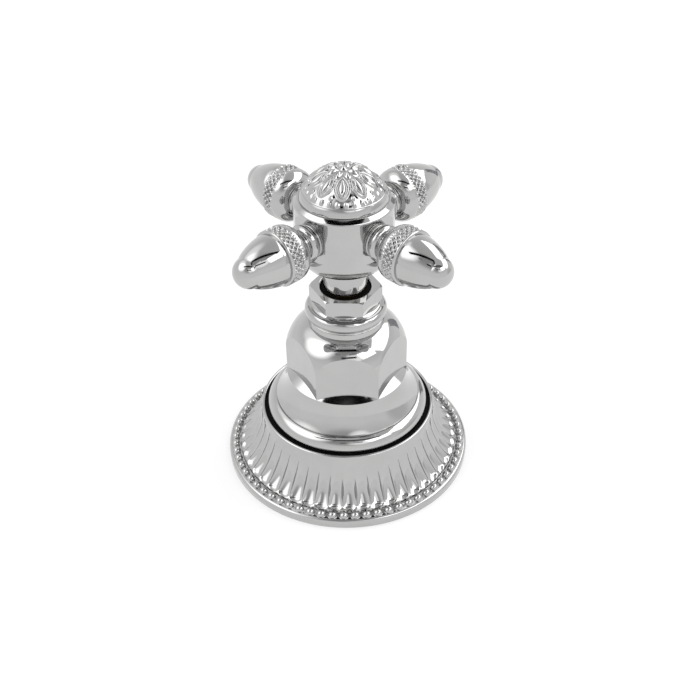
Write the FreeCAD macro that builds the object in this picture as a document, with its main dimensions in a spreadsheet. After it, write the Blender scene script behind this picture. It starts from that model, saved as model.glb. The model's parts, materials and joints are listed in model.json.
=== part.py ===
import FreeCAD, Part
import math
import os
import Sketcher

# A deck or wall mounted shut-off valve, seen from its trim side.
# The z axis is the spindle, z = 0 is the wall face, lengths are in millimetres.
# The valve is shut as modelled, and opens by a quarter turn, anticlockwise from above.

os.makedirs("parts", exist_ok=True)
doc = FreeCAD.newDocument("shut_off_valve")

# Driving sizes: a word, a length in millimetres, and what it measures
SIZES = [
    ("overrun", 1.0, "how far every cutting profile runs past what it cuts"),
    ("thread_gap", 0.05, "radial gap in every screwed joint, drawn without its thread"),
    ("running_gap", 0.05, "radial gap of the spindle in its bore and its seals"),
    ("axial_play", 0.05, "end play of the pieces that turn"),
    ("push_gap", 0.04, "radial gap of pieces that are pushed home and stay"),
    # Escutcheon, the round plate on the wall
    ("plate_radius", 31.75, "escutcheon, outer radius"),
    ("plate_height", 15.2, "escutcheon, wall to the top of its rim"),
    ("plate_edge", 2.4, "escutcheon, height of the upright edge"),
    ("plate_wall", 1.7, "escutcheon, wall"),
    ("edge_round", 0.6, "escutcheon, radius on the upright edge"),
    ("bead_margin", 0.75, "escutcheon, upright edge to the beads"),
    ("bead_radius", 1.05, "escutcheon, radius of the roll that carries the beads"),
    ("foot_land", 0.25, "escutcheon, flat between beads and flutes"),
    ("foot_rise", 0.5, "escutcheon, height of the flutes' lower end over the edge"),
    ("slope_sweep", 20.0, "escutcheon, radius of the hollow fluted slope"),
    ("mouth_radius", 21.7, "escutcheon, radius of the recess the bell sits in"),
    ("rim_roll", 0.42, "escutcheon, radius of the rolled rim"),
    ("recess_depth", 1.7, "escutcheon, depth of the recess below the rim"),
    ("ledge_wall", 1.2, "escutcheon, thickness of the recess floor"),
    ("ledge_root", 0.4, "escutcheon, how far the slope's inside runs under the mouth"),
    ("ledge_width", 4.2, "escutcheon, width of the recess floor"),
    ("gasket_depth", 1.6, "wall gasket, thickness"),
    ("gasket_width", 2.4, "wall gasket, width of the ring"),
    # Bell, the hexagonal cover
    ("foot_gap", 1.2, "bell, gap to the recess wall, which the splash ring fills"),
    ("foot_upright", 0.7, "bell, height of the upright foot"),
    ("foot_bead_height", 5.0, "bell, height of the rolled foot"),
    ("foot_bead_draw", 2.3, "bell, how far the groove lies inside the foot"),
    ("foot_bead_sweep", 3.1, "bell, radius of the rolled foot"),
    ("skirt_height", 12.5, "bell, foot to the shoulder under the hexagon"),
    ("skirt_sweep", 12.0, "bell, radius of the hollow skirt"),
    ("bell_flats", 26.3, "bell, hexagon across flats"),
    ("shoulder_rise", 1.4, "bell, height of the sloped shoulder under the flats"),
    ("bell_height", 27.6, "bell, foot to top"),
    ("dome_height", 8.3, "bell, height of the domed top"),
    ("dome_sweep", 8.5, "bell, radius of the dome"),
    ("crown_radius", 9.15, "bell, radius of the flat crown under the gland nut"),
    ("bell_wall", 1.7, "bell, wall"),
    ("crown_gap", 0.2, "bell, gap round the neck that passes through its crown"),
    ("ring_height", 0.9, "splash ring, height"),
    # Headwork, the cartridge that shuts the water off
    ("flange_gap", 0.5, "headwork, gap between its hexagon and the bell"),
    ("flange_height", 5.0, "headwork, height of the hexagon"),
    ("washer_height", 1.0, "headwork washer, thickness"),
    ("washer_width", 1.52, "headwork washer, width of the ring round the thread"),
    ("inlet_radius", 10.48, "headwork, radius of its G 1/2 thread"),
    ("inlet_length", 7.0, "headwork, length of its thread"),
    ("relief_height", 0.8, "headwork, height of the thread's run-out below the washer"),
    ("relief_depth", 1.2, "headwork, depth of that run-out, which goes up to the hexagon"),
    ("port_length", 10.0, "headwork, length of the windowed end below the thread"),
    ("port_width", 8.0, "headwork, width of each outlet window"),
    ("port_rise", 3.6, "headwork, height of each outlet window"),
    ("chamber_wall", 1.4, "headwork, wall round the discs"),
    ("neck_radius", 7.0, "headwork, radius of the threaded neck"),
    ("neck_stand", 5.4, "headwork, how far the neck stands over the bell"),
    ("spindle_bore", 5.05, "headwork, radius of the bore for the spindle"),
    ("seal_stand", 0.7, "seat seal, how far it stands out of the headwork"),
    ("seal_seat", 1.5, "seat seal, how far it sits in the headwork"),
    ("seal_width", 2.0, "seat seal, width of the ring"),
    ("fixed_depth", 3.0, "fixed disc, thickness"),
    ("moving_depth", 3.5, "moving disc, thickness"),
    ("disc_film", 0.02, "gap between the two lapped discs"),
    ("hole_inner", 1.8, "discs, inner radius of the two openings"),
    ("hole_outer", 5.9, "discs, outer radius of the two openings"),
    ("tongue_width", 2.0, "spindle, width of the tongue that drives the disc"),
    ("tongue_height", 1.2, "spindle, height of that tongue"),
    ("tongue_play", 0.1, "spindle, side gap of the tongue in its slot"),
    ("thrust_height", 0.6, "thrust washer, thickness"),
    ("thrust_width", 2.71, "thrust washer, width of the ring, which sets the discs' room"),
    ("collar_height", 2.5, "spindle, height of the collar over the moving disc"),
    ("collar_gap", 0.3, "spindle, gap between the collar and the chamber"),
    ("groove_depth", 1.2, "spindle, depth of each seal ring's groove"),
    ("groove_width", 1.9, "spindle, width of each seal ring's groove"),
    ("groove_pitch", 5.0, "spindle, distance between the two seal rings"),
    ("groove_start", 15.5, "spindle, thrust washer to the first groove"),
    ("stem_radius", 4.3, "spindle, radius above the circlip"),
    ("spline_radius", 4.0, "spindle, radius of the splined end"),
    ("spline_length", 13.5, "spindle, length of the splined end"),
    ("tap_depth", 9.0, "spindle, depth of the tapped hole in its end"),
    ("clip_height", 0.8, "circlip, thickness"),
    ("clip_bite", 0.6, "circlip, depth of its groove"),
    ("clip_width", 1.5, "circlip, width of the ring"),
    ("clip_mouth", 3.0, "circlip, width of its open side"),
    # Gland nut over the bell
    ("gland_radius", 9.3, "gland nut, radius of the foot ring"),
    ("gland_foot", 1.7, "gland nut, height of the foot ring"),
    ("gland_groove", 0.4, "gland nut, depth and height of the groove above it"),
    ("gland_bead_height", 3.2, "gland nut, height of the rolled collar"),
    ("gland_bead_sweep", 1.7, "gland nut, radius of the rolled collar"),
    ("gland_cove", 0.9, "gland nut, height of the cove under the hexagon"),
    ("gland_flats", 15.33, "gland nut, hexagon across flats"),
    ("gland_hexagon", 3.75, "gland nut, height of the hexagon"),
    ("gland_chamfer", 0.5, "gland nut, bevel at the mouth"),
    ("gland_cell", 1.9, "gland nut, height of the room for the circlip"),
    ("gland_lip", 0.6, "gland nut, thickness of the lip under the seal"),
    ("gland_lip_gap", 1.1, "gland nut, gap between that lip and the spindle"),
    ("gland_seal_width", 1.8, "gland seal, width of the ring"),
    ("gland_seal_height", 1.4, "gland seal, height"),
    # Handle hub and what is inside it
    ("hub_gap", 0.3, "hub, gap over the gland nut"),
    ("hub_neck_radius", 5.3, "hub, radius of the neck"),
    ("hub_neck_height", 5.8, "hub, height of the neck"),
    ("hub_bowl_height", 4.6, "hub, height of the rounded bottom"),
    ("hub_bowl_sweep", 6.2, "hub, radius of the rounded bottom"),
    ("hub_radius", 11.7, "hub, radius of the barrel"),
    ("hub_height", 23.8, "hub, neck to top"),
    ("hub_bevel_height", 1.5, "hub, height of the bevelled rim"),
    ("hub_bevel_width", 1.3, "hub, width of the bevelled rim"),
    ("bush_wall", 0.5, "spline bush, wall"),
    ("web_height", 2.0, "hub, thickness of the web under the handle screw"),
    ("web_radius", 4.6, "hub, radius of the room for the screw head"),
    ("button_seat", 4.0, "hub, depth of the recess for the button"),
    ("button_seat_radius", 8.6, "hub, radius of that recess"),
    ("arm_drop", 7.0, "arms, distance of their axis below the hub's top"),
    ("face_radius", 6.0, "hub, radius of the flat face under each arm"),
    ("face_depth", 1.0, "hub, depth of that face into the barrel"),
    ("stud_radius", 2.45, "arm stud, radius"),
    ("stud_seat", 4.1, "arm stud, how far it is screwed into the hub"),
    ("screw_radius", 2.0, "handle screw, radius of the thread"),
    ("screw_bite", 7.0, "handle screw, how far it goes into the spindle"),
    ("screw_head_radius", 3.7, "handle screw, radius of the head"),
    ("screw_head_height", 2.6, "handle screw, height of the head"),
    ("key_flats", 3.0, "handle screw, socket across flats"),
    ("key_depth", 1.6, "handle screw, depth of the socket"),
    ("plain_washer", 0.7, "screw washer, thickness"),
    # Arms, each a collar, a knurled cap and an acorn nut on a stud
    ("collar_radius", 4.2, "arm collar, radius at the hub"),
    ("collar_foot", 0.7, "arm collar, length of its foot"),
    ("collar_bead", 2.1, "arm collar, length of its bead"),
    ("collar_sweep", 1.2, "arm collar, radius of its bead"),
    ("collar_neck", 1.3, "arm collar, length of its neck"),
    ("collar_neck_radius", 3.8, "arm collar, radius of its neck"),
    ("cap_radius", 6.55, "acorn cap, radius of the knurled band"),
    ("cap_back", 3.0, "acorn cap, length of the rounded back"),
    ("cap_back_radius", 4.3, "acorn cap, radius where the back starts"),
    ("cap_back_sweep", 3.4, "acorn cap, radius of the rounded back"),
    ("cap_band", 3.3, "acorn cap, length of the knurled band"),
    ("cap_lip", 0.45, "acorn cap, round of the front lip"),
    ("nut_radius", 6.0, "acorn nut, largest radius"),
    ("nut_foot", 0.8, "acorn nut, length of its straight foot"),
    ("nut_side", 6.0, "acorn nut, length of its curved side"),
    ("nut_side_sweep", 16.0, "acorn nut, radius of that side's curve"),
    ("nut_tip_radius", 4.45, "acorn nut, radius where the tip starts"),
    ("nut_tip", 3.8, "acorn nut, length of the round tip"),
    ("nut_thread", 6.6, "acorn nut, depth of its thread"),
    # Index button on top
    ("button_radius", 10.3, "button, radius of the foot"),
    ("button_band", 2.5, "button, height of the smooth band"),
    ("button_band_draw", 1.0, "button, how far the band leans in"),
    ("button_band_sweep", 4.0, "button, radius of the band's curve"),
    ("button_dome", 4.5, "button, height of the ornamented dome"),
    ("button_plug", 3.7, "button, length of the plug"),
    ("button_wall", 1.9, "button, wall of the hollow plug"),
    ("button_hollow", 5.2, "button, depth of the hollow"),
    ("button_groove", 0.8, "button, depth of the groove for its ring"),
    ("button_groove_width", 1.6, "button, width of that groove"),
]

ARM_COUNT = 4
ARM_TURN = 43.8
GLAND_TURN = -3.0
OPENING_HALF_ANGLE = 38.0


def number(value):
    """The text of a number as the sheet and its expressions read it."""
    return format(float(value), ".12g")


class Size:
    """A length, and the expression on the sheet's cells that gives it."""

    def __init__(self, value, text):
        self.value = float(value)
        self.text = text

    def joined(self, sign, other, value):
        text = other.text if isinstance(other, Size) else number(other)
        return Size(value, f"({self.text} {sign} {text})")

    def __add__(self, other):
        return self.joined("+", other, self.value + plain(other))

    def __sub__(self, other):
        return self.joined("-", other, self.value - plain(other))

    def __mul__(self, share):
        return self.joined("*", share, self.value * plain(share))

    def __truediv__(self, share):
        return self.joined("/", share, self.value / plain(share))


def plain(value):
    """The bare number of a length or a share."""
    return value.value if isinstance(value, Size) else float(value)


def text_of(value):
    """The expression of a length, or the text of a bare zero."""
    return value.text if isinstance(value, Size) else number(value)


sheet = doc.addObject("Spreadsheet::Sheet", "Sizes")
size = {}
for row, (word, length, meaning) in enumerate(SIZES, start=1):
    sheet.set(f"A{row}", meaning)
    sheet.set(f"B{row}", number(length))
    sheet.setAlias(f"B{row}", word)
    size[word] = Size(length, f"Sizes.{word}")
doc.recompute()


def of(word):
    """The driving size with this name."""
    return size[word]


# Outlines: a list of corners, walked with the material on the left hand
def to(x, y):
    """A straight run to a corner."""
    return (x, y, None, 0)


def round_out(x, y, radius):
    """An arc to a corner that swells out of the material."""
    return (x, y, radius, 1)


def round_in(x, y, radius):
    """An arc to a corner that hollows the material."""
    return (x, y, radius, -1)


def arc_between(start, end, radius, side):
    """The short arc from start to end, with its centre on the left or the right."""
    half = (end - start) * 0.5
    middle = (start + end) * 0.5
    reach = math.sqrt(radius * radius - half.Length * half.Length)
    left = FreeCAD.Vector(-half.y, half.x, 0).normalize()
    centre = middle + left * (reach * side)
    first, last = (start, end) if side > 0 else (end, start)
    from_angle = math.atan2(first.y - centre.y, first.x - centre.x)
    to_angle = math.atan2(last.y - centre.y, last.x - centre.x)
    if to_angle < from_angle:
        to_angle += 2 * math.pi
    circle = Part.Circle(centre, FreeCAD.Vector(0, 0, 1), radius)
    return Part.ArcOfCircle(circle, from_angle, to_angle)


def origin_feature(body, role):
    """One of the body's own planes or axes."""
    return next(f for f in body.Origin.OriginFeatures if f.Role == role)


class Drawing:
    """A sketch whose points and radii are bound to the sheet."""

    def __init__(self, body, name, role):
        self.sketch = body.newObject("Sketcher::SketchObject", name)
        self.sketch.AttachmentSupport = [(origin_feature(body, role), "")]
        self.sketch.MapMode = "FlatFace"

    def bind(self, constraint, length):
        index = self.sketch.addConstraint(constraint)
        if isinstance(length, Size):
            self.sketch.setExpression(f"Constraints[{index}]", length.text)

    def pin(self, geometry, point, x, y):
        """Hold a point at x, y from the origin."""
        if plain(x) == 0:
            self.sketch.addConstraint(Sketcher.Constraint("PointOnObject", geometry, point, -2))
        else:
            self.bind(Sketcher.Constraint("DistanceX", -1, 1, geometry, point, plain(x)), x)
        if plain(y) == 0:
            self.sketch.addConstraint(Sketcher.Constraint("PointOnObject", geometry, point, -1))
        else:
            self.bind(Sketcher.Constraint("DistanceY", -1, 1, geometry, point, plain(y)), y)

    def outline(self, corners):
        """A closed outline through the corners, each run drawn to its own corner."""
        places = [FreeCAD.Vector(plain(x), plain(y), 0) for x, y, radius, side in corners]
        first = self.sketch.GeometryCount
        ends = []
        for index, (x, y, radius, side) in enumerate(corners):
            start = places[index - 1]
            if radius is None:
                self.sketch.addGeometry(Part.LineSegment(start, places[index]))
            else:
                arc = arc_between(start, places[index], plain(radius), side)
                self.sketch.addGeometry(arc)
            ends.append((2, 1) if side < 0 else (1, 2))
        for index, (x, y, radius, side) in enumerate(corners):
            geometry = first + index
            following = (index + 1) % len(corners)
            joint = (geometry, ends[index][1], first + following, ends[following][0])
            self.sketch.addConstraint(Sketcher.Constraint("Coincident", *joint))
            self.pin(geometry, ends[index][1], x, y)
            if radius is not None:
                self.bind(Sketcher.Constraint("Radius", geometry, plain(radius)), radius)

    def circle(self, radius, x=0, y=0):
        """A circle of this radius round x, y."""
        centre = FreeCAD.Vector(plain(x), plain(y), 0)
        circle = Part.Circle(centre, FreeCAD.Vector(0, 0, 1), plain(radius))
        geometry = self.sketch.addGeometry(circle)
        self.pin(geometry, 3, x, y)
        self.bind(Sketcher.Constraint("Radius", geometry, plain(radius)), radius)

    def lift(self, distance):
        """Move the sketch off its plane, along the plane's normal."""
        self.sketch.AttachmentOffset = FreeCAD.Placement(
            FreeCAD.Vector(0, 0, plain(distance)), FreeCAD.Rotation())
        self.sketch.setExpression("AttachmentOffset.Base.z", text_of(distance))


pieces = {}


def new_body(label):
    """A body for one piece of the valve, which also names its file."""
    body = doc.addObject("PartDesign::Body", label)
    body.Label = label
    pieces[label] = body
    return body


def cap_sweep(radius, height):
    """The radius of a ball whose cap has this foot radius and height."""
    return (radius * radius + height * height) / (height * 2)


def spun(body, name, corners, kind="PartDesign::Revolution"):
    """Turn an outline of radii and heights about the body's own axis."""
    drawing = Drawing(body, name + "_outline", "XZ_Plane")
    drawing.outline(corners)
    feature = body.newObject(kind, name)
    feature.Profile = drawing.sketch
    feature.ReferenceAxis = (drawing.sketch, ["V_Axis"])
    feature.Angle = 360.0
    drawing.sketch.Visibility = False
    return feature


def turned(label, corners):
    """A piece turned in one go."""
    body = new_body(label)
    spun(body, label + "_turned", corners)
    return body


def ring(label, inner, outer, low, high):
    """A plain turned ring."""
    return turned(label, [to(inner, low), to(outer, low), to(outer, high), to(inner, high)])


def cut_through(body, name, drawing, length, upwards=True):
    """Cut along the sketch's normal, upwards or down, and prove that metal went."""
    doc.recompute()
    before = body.Shape.Volume
    pocket = body.newObject("PartDesign::Pocket", name)
    pocket.Profile = drawing.sketch
    pocket.Length = plain(length)
    pocket.setExpression("Length", text_of(length))
    pocket.Reversed = upwards
    drawing.sketch.Visibility = False
    doc.recompute()
    if body.Shape.Volume >= before:
        raise ValueError(name + " cuts nothing")
    return pocket


def polygon(radius, sides, turn):
    """The corners of a regular polygon, its first corner turned from the x axis."""
    corners = []
    for index in range(sides):
        angle = math.radians(turn + 360.0 * index / sides)
        x_share = round(math.cos(angle), 9)
        y_share = round(math.sin(angle), 9)
        corners.append(to(radius * x_share if x_share else 0, radius * y_share if y_share else 0))
    return corners


HEXAGON_CORNER_SHARE = 1 / math.sqrt(3)


def mill_hexagon(body, name, flats, blank, low, high, turn):
    """Mill six flats on a turned blank, from one height up to another."""
    drawing = Drawing(body, name + "_outline", "XY_Plane")
    drawing.circle(blank + of("overrun"))
    drawing.outline(polygon(flats * HEXAGON_CORNER_SHARE, 6, turn))
    drawing.lift(low)
    return cut_through(body, name, drawing, high - low)


# Heights of the trim, from the wall up
ledge_top = of("plate_height") - of("recess_depth")
bell_top = ledge_top + of("bell_height")
shoulder = ledge_top + of("skirt_height")
gland_hexagon_foot = (bell_top + of("gland_foot") + of("gland_groove") + of("gland_bead_height")
                      + of("gland_cove"))
gland_top = gland_hexagon_foot + of("gland_hexagon")
hub_foot = gland_top + of("hub_gap")
hub_top = hub_foot + of("hub_height")
arm_height = hub_top - of("arm_drop")

# Heights of the headwork, from the bell's inside down to the seat
bell_inner_radius = of("bell_flats") / 2
flange_top = shoulder - of("bell_wall")
flange_foot = flange_top - of("flange_height")
washer_foot = flange_foot - of("washer_height")
port_top = washer_foot - of("inlet_length")
headwork_foot = port_top - of("port_length")
fixed_foot = headwork_foot + of("seal_seat")
moving_foot = fixed_foot + of("fixed_depth") + of("disc_film")
collar_foot = moving_foot + of("moving_depth") + of("axial_play")
collar_top = collar_foot + of("collar_height")
thrust_foot = collar_top + of("axial_play")
thrust_top = thrust_foot + of("thrust_height")
neck_top = bell_top + of("neck_stand")
chamber_radius = of("spindle_bore") + of("thrust_width") + of("push_gap")
port_radius = chamber_radius + of("chamber_wall")
disc_radius = chamber_radius - of("push_gap")
spindle_radius = of("spindle_bore") - of("running_gap")

# Escutcheon: a pressed plate with a rolled foot, a hollow slope, a rolled rim
# and a recess whose floor the bell clamps against the wall
bead_circle = of("plate_radius") - of("bead_margin") - of("bead_radius")
foot_radius = bead_circle - of("bead_radius")
slope_foot = foot_radius - of("foot_land")
foot_height = of("plate_edge") + of("foot_rise")
rim_radius = of("mouth_radius") + of("rim_roll") * 2
rim_height = of("plate_height") - of("rim_roll")
gasket_radius = of("plate_radius") - of("plate_wall")
gasket_bore = gasket_radius - of("gasket_width")
shank_hole = of("mouth_radius") - of("ledge_width")
turned("escutcheon", [
    to(of("plate_radius"), 0),
    to(of("plate_radius"), of("plate_edge") - of("edge_round")),
    round_out(of("plate_radius") - of("edge_round"), of("plate_edge"), of("edge_round")),
    to(bead_circle + of("bead_radius"), of("plate_edge")),
    round_out(bead_circle, of("plate_edge") + of("bead_radius"), of("bead_radius")),
    round_out(foot_radius, of("plate_edge"), of("bead_radius")),
    to(slope_foot, foot_height),
    round_in(rim_radius, rim_height, of("slope_sweep")),
    round_out(of("mouth_radius") + of("rim_roll"), of("plate_height"), of("rim_roll")),
    round_out(of("mouth_radius"), rim_height, of("rim_roll")),
    to(of("mouth_radius"), ledge_top),
    to(shank_hole, ledge_top),
    to(shank_hole, ledge_top - of("ledge_wall")),
    to(of("mouth_radius") - of("ledge_root"), ledge_top - of("ledge_wall")),
    round_out(gasket_bore, of("gasket_depth"), of("slope_sweep") + of("plate_wall")),
    to(gasket_radius, of("gasket_depth")),
    to(gasket_radius, 0),
])
ring("wall_gasket", gasket_bore, gasket_radius - of("push_gap"), 0, of("gasket_depth"))

# Bell: turned dome and barrel, six milled flats, then the turned skirt below them
bell_foot_radius = of("mouth_radius") - of("foot_gap")
groove_radius = bell_foot_radius - of("foot_bead_draw")
barrel_radius = of("bell_flats") * HEXAGON_CORNER_SHARE
flat_radius = of("bell_flats") / 2
crown_bore = of("neck_radius") + of("crown_gap")
dome_foot = bell_top - of("dome_height")
bell = new_body("bell")
spun(bell, "bell_barrel", [
    to(0, shoulder),
    to(barrel_radius, shoulder),
    to(barrel_radius, dome_foot),
    round_out(of("crown_radius"), bell_top, of("dome_sweep")),
    to(0, bell_top),
])
mill_hexagon(bell, "bell_flats", of("bell_flats"), barrel_radius, shoulder, bell_top, 0)
spun(bell, "bell_skirt", [
    to(0, ledge_top),
    to(bell_foot_radius, ledge_top),
    to(bell_foot_radius, ledge_top + of("foot_upright")),
    round_out(groove_radius, ledge_top + of("foot_bead_height"), of("foot_bead_sweep")),
    round_in(barrel_radius, shoulder, of("skirt_sweep")),
    to(flat_radius, shoulder + of("shoulder_rise")),
    to(0, shoulder + of("shoulder_rise")),
])
bell_cavity_radius = flat_radius - of("bell_wall")
bell_cavity_top = bell_top - of("bell_wall")
doc.recompute()
solid_bell = bell.Shape.Volume
spun(bell, "bell_cavity", [
    to(0, ledge_top - of("overrun")),
    to(shank_hole, ledge_top - of("overrun")),
    to(shank_hole, ledge_top),
    to(flat_radius, flange_top),
    to(bell_cavity_radius, shoulder + of("shoulder_rise")),
    to(bell_cavity_radius, dome_foot + of("bell_wall")),
    round_out(of("crown_radius") - of("bell_wall") / 2, bell_cavity_top, of("dome_sweep")),
    to(crown_bore, bell_cavity_top),
    to(crown_bore, bell_top + of("overrun")),
    to(0, bell_top + of("overrun")),
], "PartDesign::Groove")
doc.recompute()
if bell.Shape.Volume >= solid_bell:
    raise ValueError("the bell stayed solid")

# Splash ring: black rubber between the bell's foot and the recess wall
ring("splash_ring", bell_foot_radius + of("push_gap"), of("mouth_radius") - of("push_gap"),
     ledge_top, ledge_top + of("ring_height"))

# Headwork body: windowed end, thread, hexagon and neck, bored for the spindle
flange_corner = flat_radius - of("flange_gap")
relief_radius = of("inlet_radius") - of("relief_depth")
relief_foot = washer_foot - of("relief_height")
headwork = new_body("headwork_body")
spun(headwork, "headwork_turned", [
    to(chamber_radius, headwork_foot),
    to(port_radius, headwork_foot),
    to(port_radius, port_top),
    to(of("inlet_radius"), port_top),
    to(of("inlet_radius"), relief_foot),
    to(relief_radius, relief_foot),
    to(relief_radius, flange_foot),
    to(flange_corner, flange_foot),
    to(flange_corner, flange_top),
    to(of("neck_radius"), flange_top),
    to(of("neck_radius"), neck_top),
    to(of("spindle_bore"), neck_top),
    to(of("spindle_bore"), thrust_top),
    to(chamber_radius, thrust_top),
])
flange_flats = flange_corner / HEXAGON_CORNER_SHARE
mill_hexagon(headwork, "headwork_flats", flange_flats, flange_corner, flange_foot, flange_top, 0)
windows = Drawing(headwork, "windows_outline", "XZ_Plane")
window_foot = moving_foot + of("tongue_height")
windows.outline([
    to(of("port_width") * -0.5, window_foot),
    to(of("port_width") * 0.5, window_foot),
    to(of("port_width") * 0.5, window_foot + of("port_rise")),
    to(of("port_width") * -0.5, window_foot + of("port_rise")),
])
window_reach = port_radius + of("overrun")
windows.lift(window_reach * -1)
cut_through(headwork, "windows", windows, window_reach * 2)

washer_bore = of("inlet_radius") + of("thread_gap")
ring("headwork_washer", washer_bore, washer_bore + of("washer_width"), washer_foot, flange_foot)
ring("seat_seal", disc_radius - of("seal_width"), disc_radius,
     headwork_foot - of("seal_stand"), fixed_foot)
ring("thrust_washer", of("spindle_bore"), chamber_radius - of("push_gap"),
     thrust_foot, thrust_top)


def disc_opening(turn):
    """One of a disc's two openings, a sector about the given direction."""
    corners = []
    for reach, side in (("hole_inner", -1), ("hole_outer", -1), ("hole_outer", 1),
                        ("hole_inner", 1)):
        angle = math.radians(turn + side * OPENING_HALF_ANGLE)
        corners.append((of(reach) * math.cos(angle), of(reach) * math.sin(angle)))
    return [
        round_in(*corners[0], of("hole_inner")),
        to(*corners[1]),
        round_out(*corners[2], of("hole_outer")),
        to(*corners[3]),
    ]


def ceramic_disc(label, foot, depth, turn):
    """A lapped disc with two opposite openings, each a little under a quarter."""
    disc = ring(label, disc_radius * 0.1, disc_radius, foot, foot + depth)
    openings = Drawing(disc, label + "_openings", "XY_Plane")
    openings.outline(disc_opening(turn))
    openings.outline(disc_opening(turn + 180))
    openings.lift(foot)
    cut_through(disc, label + "_ports", openings, depth)
    return disc


# The discs: the lower one is held by the headwork, the upper one is turned by the spindle
ceramic_disc("fixed_disc", fixed_foot, of("fixed_depth"), 0)
moving_disc = ceramic_disc("moving_disc", moving_foot, of("moving_depth"), 90)


def tongue_outline(drawing, half_width, reach):
    """The bar across the axis that drives the moving disc."""
    drawing.outline([
        to(reach * -1, half_width * -1),
        to(reach, half_width * -1),
        to(reach, half_width),
        to(reach * -1, half_width),
    ])


tongue_reach = of("hole_outer")
slot = Drawing(moving_disc, "drive_slot_outline", "XY_Plane")
tongue_outline(slot, of("tongue_width") / 2 + of("tongue_play"),
               tongue_reach + of("tongue_play"))
slot.lift(moving_foot + of("moving_depth"))
cut_through(moving_disc, "drive_slot", slot, of("tongue_height") + of("axial_play"), False)

# Spindle: collar and tongue below, two ring grooves, circlip groove, splined end
groove_floor = spindle_radius - of("groove_depth")
clip_floor = spindle_radius - of("clip_bite")
first_groove = thrust_top + of("groove_start")
second_groove = first_groove + of("groove_pitch")
clip_foot = neck_top + of("axial_play")
clip_top = clip_foot + of("clip_height")
spline_top = hub_foot + of("spline_length")
spindle = new_body("spindle")
spun(spindle, "spindle_turned", [
    to(0, collar_foot),
    to(chamber_radius - of("collar_gap"), collar_foot),
    to(chamber_radius - of("collar_gap"), collar_top),
    to(spindle_radius, collar_top),
    to(spindle_radius, first_groove),
    to(groove_floor, first_groove),
    to(groove_floor, first_groove + of("groove_width")),
    to(spindle_radius, first_groove + of("groove_width")),
    to(spindle_radius, second_groove),
    to(groove_floor, second_groove),
    to(groove_floor, second_groove + of("groove_width")),
    to(spindle_radius, second_groove + of("groove_width")),
    to(spindle_radius, clip_foot),
    to(clip_floor, clip_foot),
    to(clip_floor, clip_top),
    to(of("stem_radius"), clip_top),
    to(of("stem_radius"), hub_foot),
    to(of("spline_radius"), hub_foot),
    to(of("spline_radius"), spline_top),
    to(of("screw_radius") + of("thread_gap"), spline_top),
    to(of("screw_radius") + of("thread_gap"), spline_top - of("tap_depth")),
    to(0, spline_top - of("tap_depth")),
])
tongue = Drawing(spindle, "tongue_outline", "XY_Plane")
tongue_outline(tongue, of("tongue_width") / 2, tongue_reach)
tongue.lift(collar_foot)
tongue_pad = spindle.newObject("PartDesign::Pad", "tongue")
tongue_pad.Profile = tongue.sketch
tongue_pad.Length = plain(of("tongue_height"))
tongue_pad.setExpression("Length", of("tongue_height").text)
tongue_pad.Reversed = True

# Seal rings of the spindle, squeezed into their grooves
ring_gap = of("running_gap") / 2
for label, foot in (("spindle_ring_lower", first_groove), ("spindle_ring_upper", second_groove)):
    ring(label, groove_floor, of("spindle_bore") - ring_gap, foot + of("axial_play"),
         foot + of("groove_width") - of("axial_play"))

# Circlip: an open ring that keeps the spindle from dropping into the headwork
clip = ring("circlip", clip_floor, clip_floor + of("clip_width"), clip_foot, clip_top)
clip_opening = Drawing(clip, "circlip_mouth_outline", "XY_Plane")
clip_reach = clip_floor + of("clip_width") + of("overrun")
clip_opening.outline([
    to(of("clip_mouth") * -0.5, 0),
    to(of("clip_mouth") * 0.5, 0),
    to(of("clip_mouth") * 0.5, clip_reach),
    to(of("clip_mouth") * -0.5, clip_reach),
])
clip_opening.lift(clip_foot)
cut_through(clip, "circlip_mouth", clip_opening, of("clip_height"))

# Gland nut: screwed on the headwork's neck, clamps the bell and holds the gland seal
gland_bore = of("neck_radius") + of("thread_gap")
gland_corner = of("gland_flats") * HEXAGON_CORNER_SHARE
gland_seal_bore = of("stem_radius") + of("running_gap")
gland_seat_radius = gland_seal_bore + of("gland_seal_width")
gland_cell_top = neck_top + of("gland_cell")
gland_lip_top = gland_cell_top + of("gland_lip")
bead_foot = bell_top + of("gland_foot") + of("gland_groove")
bead_top = bead_foot + of("gland_bead_height")
gland = new_body("gland_nut")
spun(gland, "gland_turned", [
    to(gland_bore, bell_top),
    to(of("gland_radius"), bell_top),
    to(of("gland_radius"), bell_top + of("gland_foot")),
    to(of("gland_radius") - of("gland_groove"), bell_top + of("gland_foot")),
    to(of("gland_radius") - of("gland_groove"), bead_foot),
    round_out(gland_corner, bead_top, of("gland_bead_sweep")),
    to(gland_corner, gland_top),
    to(gland_seat_radius + of("gland_chamfer"), gland_top),
    to(gland_seat_radius, gland_top - of("gland_chamfer")),
    to(gland_seat_radius, gland_lip_top),
    to(of("stem_radius") + of("gland_lip_gap"), gland_lip_top),
    to(of("stem_radius") + of("gland_lip_gap"), gland_cell_top),
    to(gland_seat_radius, gland_cell_top),
    to(gland_seat_radius, neck_top + of("axial_play")),
    to(gland_bore, neck_top + of("axial_play")),
])
mill_hexagon(gland, "gland_flats", of("gland_flats"), gland_corner, gland_hexagon_foot,
             gland_top, GLAND_TURN)
ring("gland_seal", gland_seal_bore, gland_seat_radius - of("push_gap"), gland_lip_top,
     gland_lip_top + of("gland_seal_height"))

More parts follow.
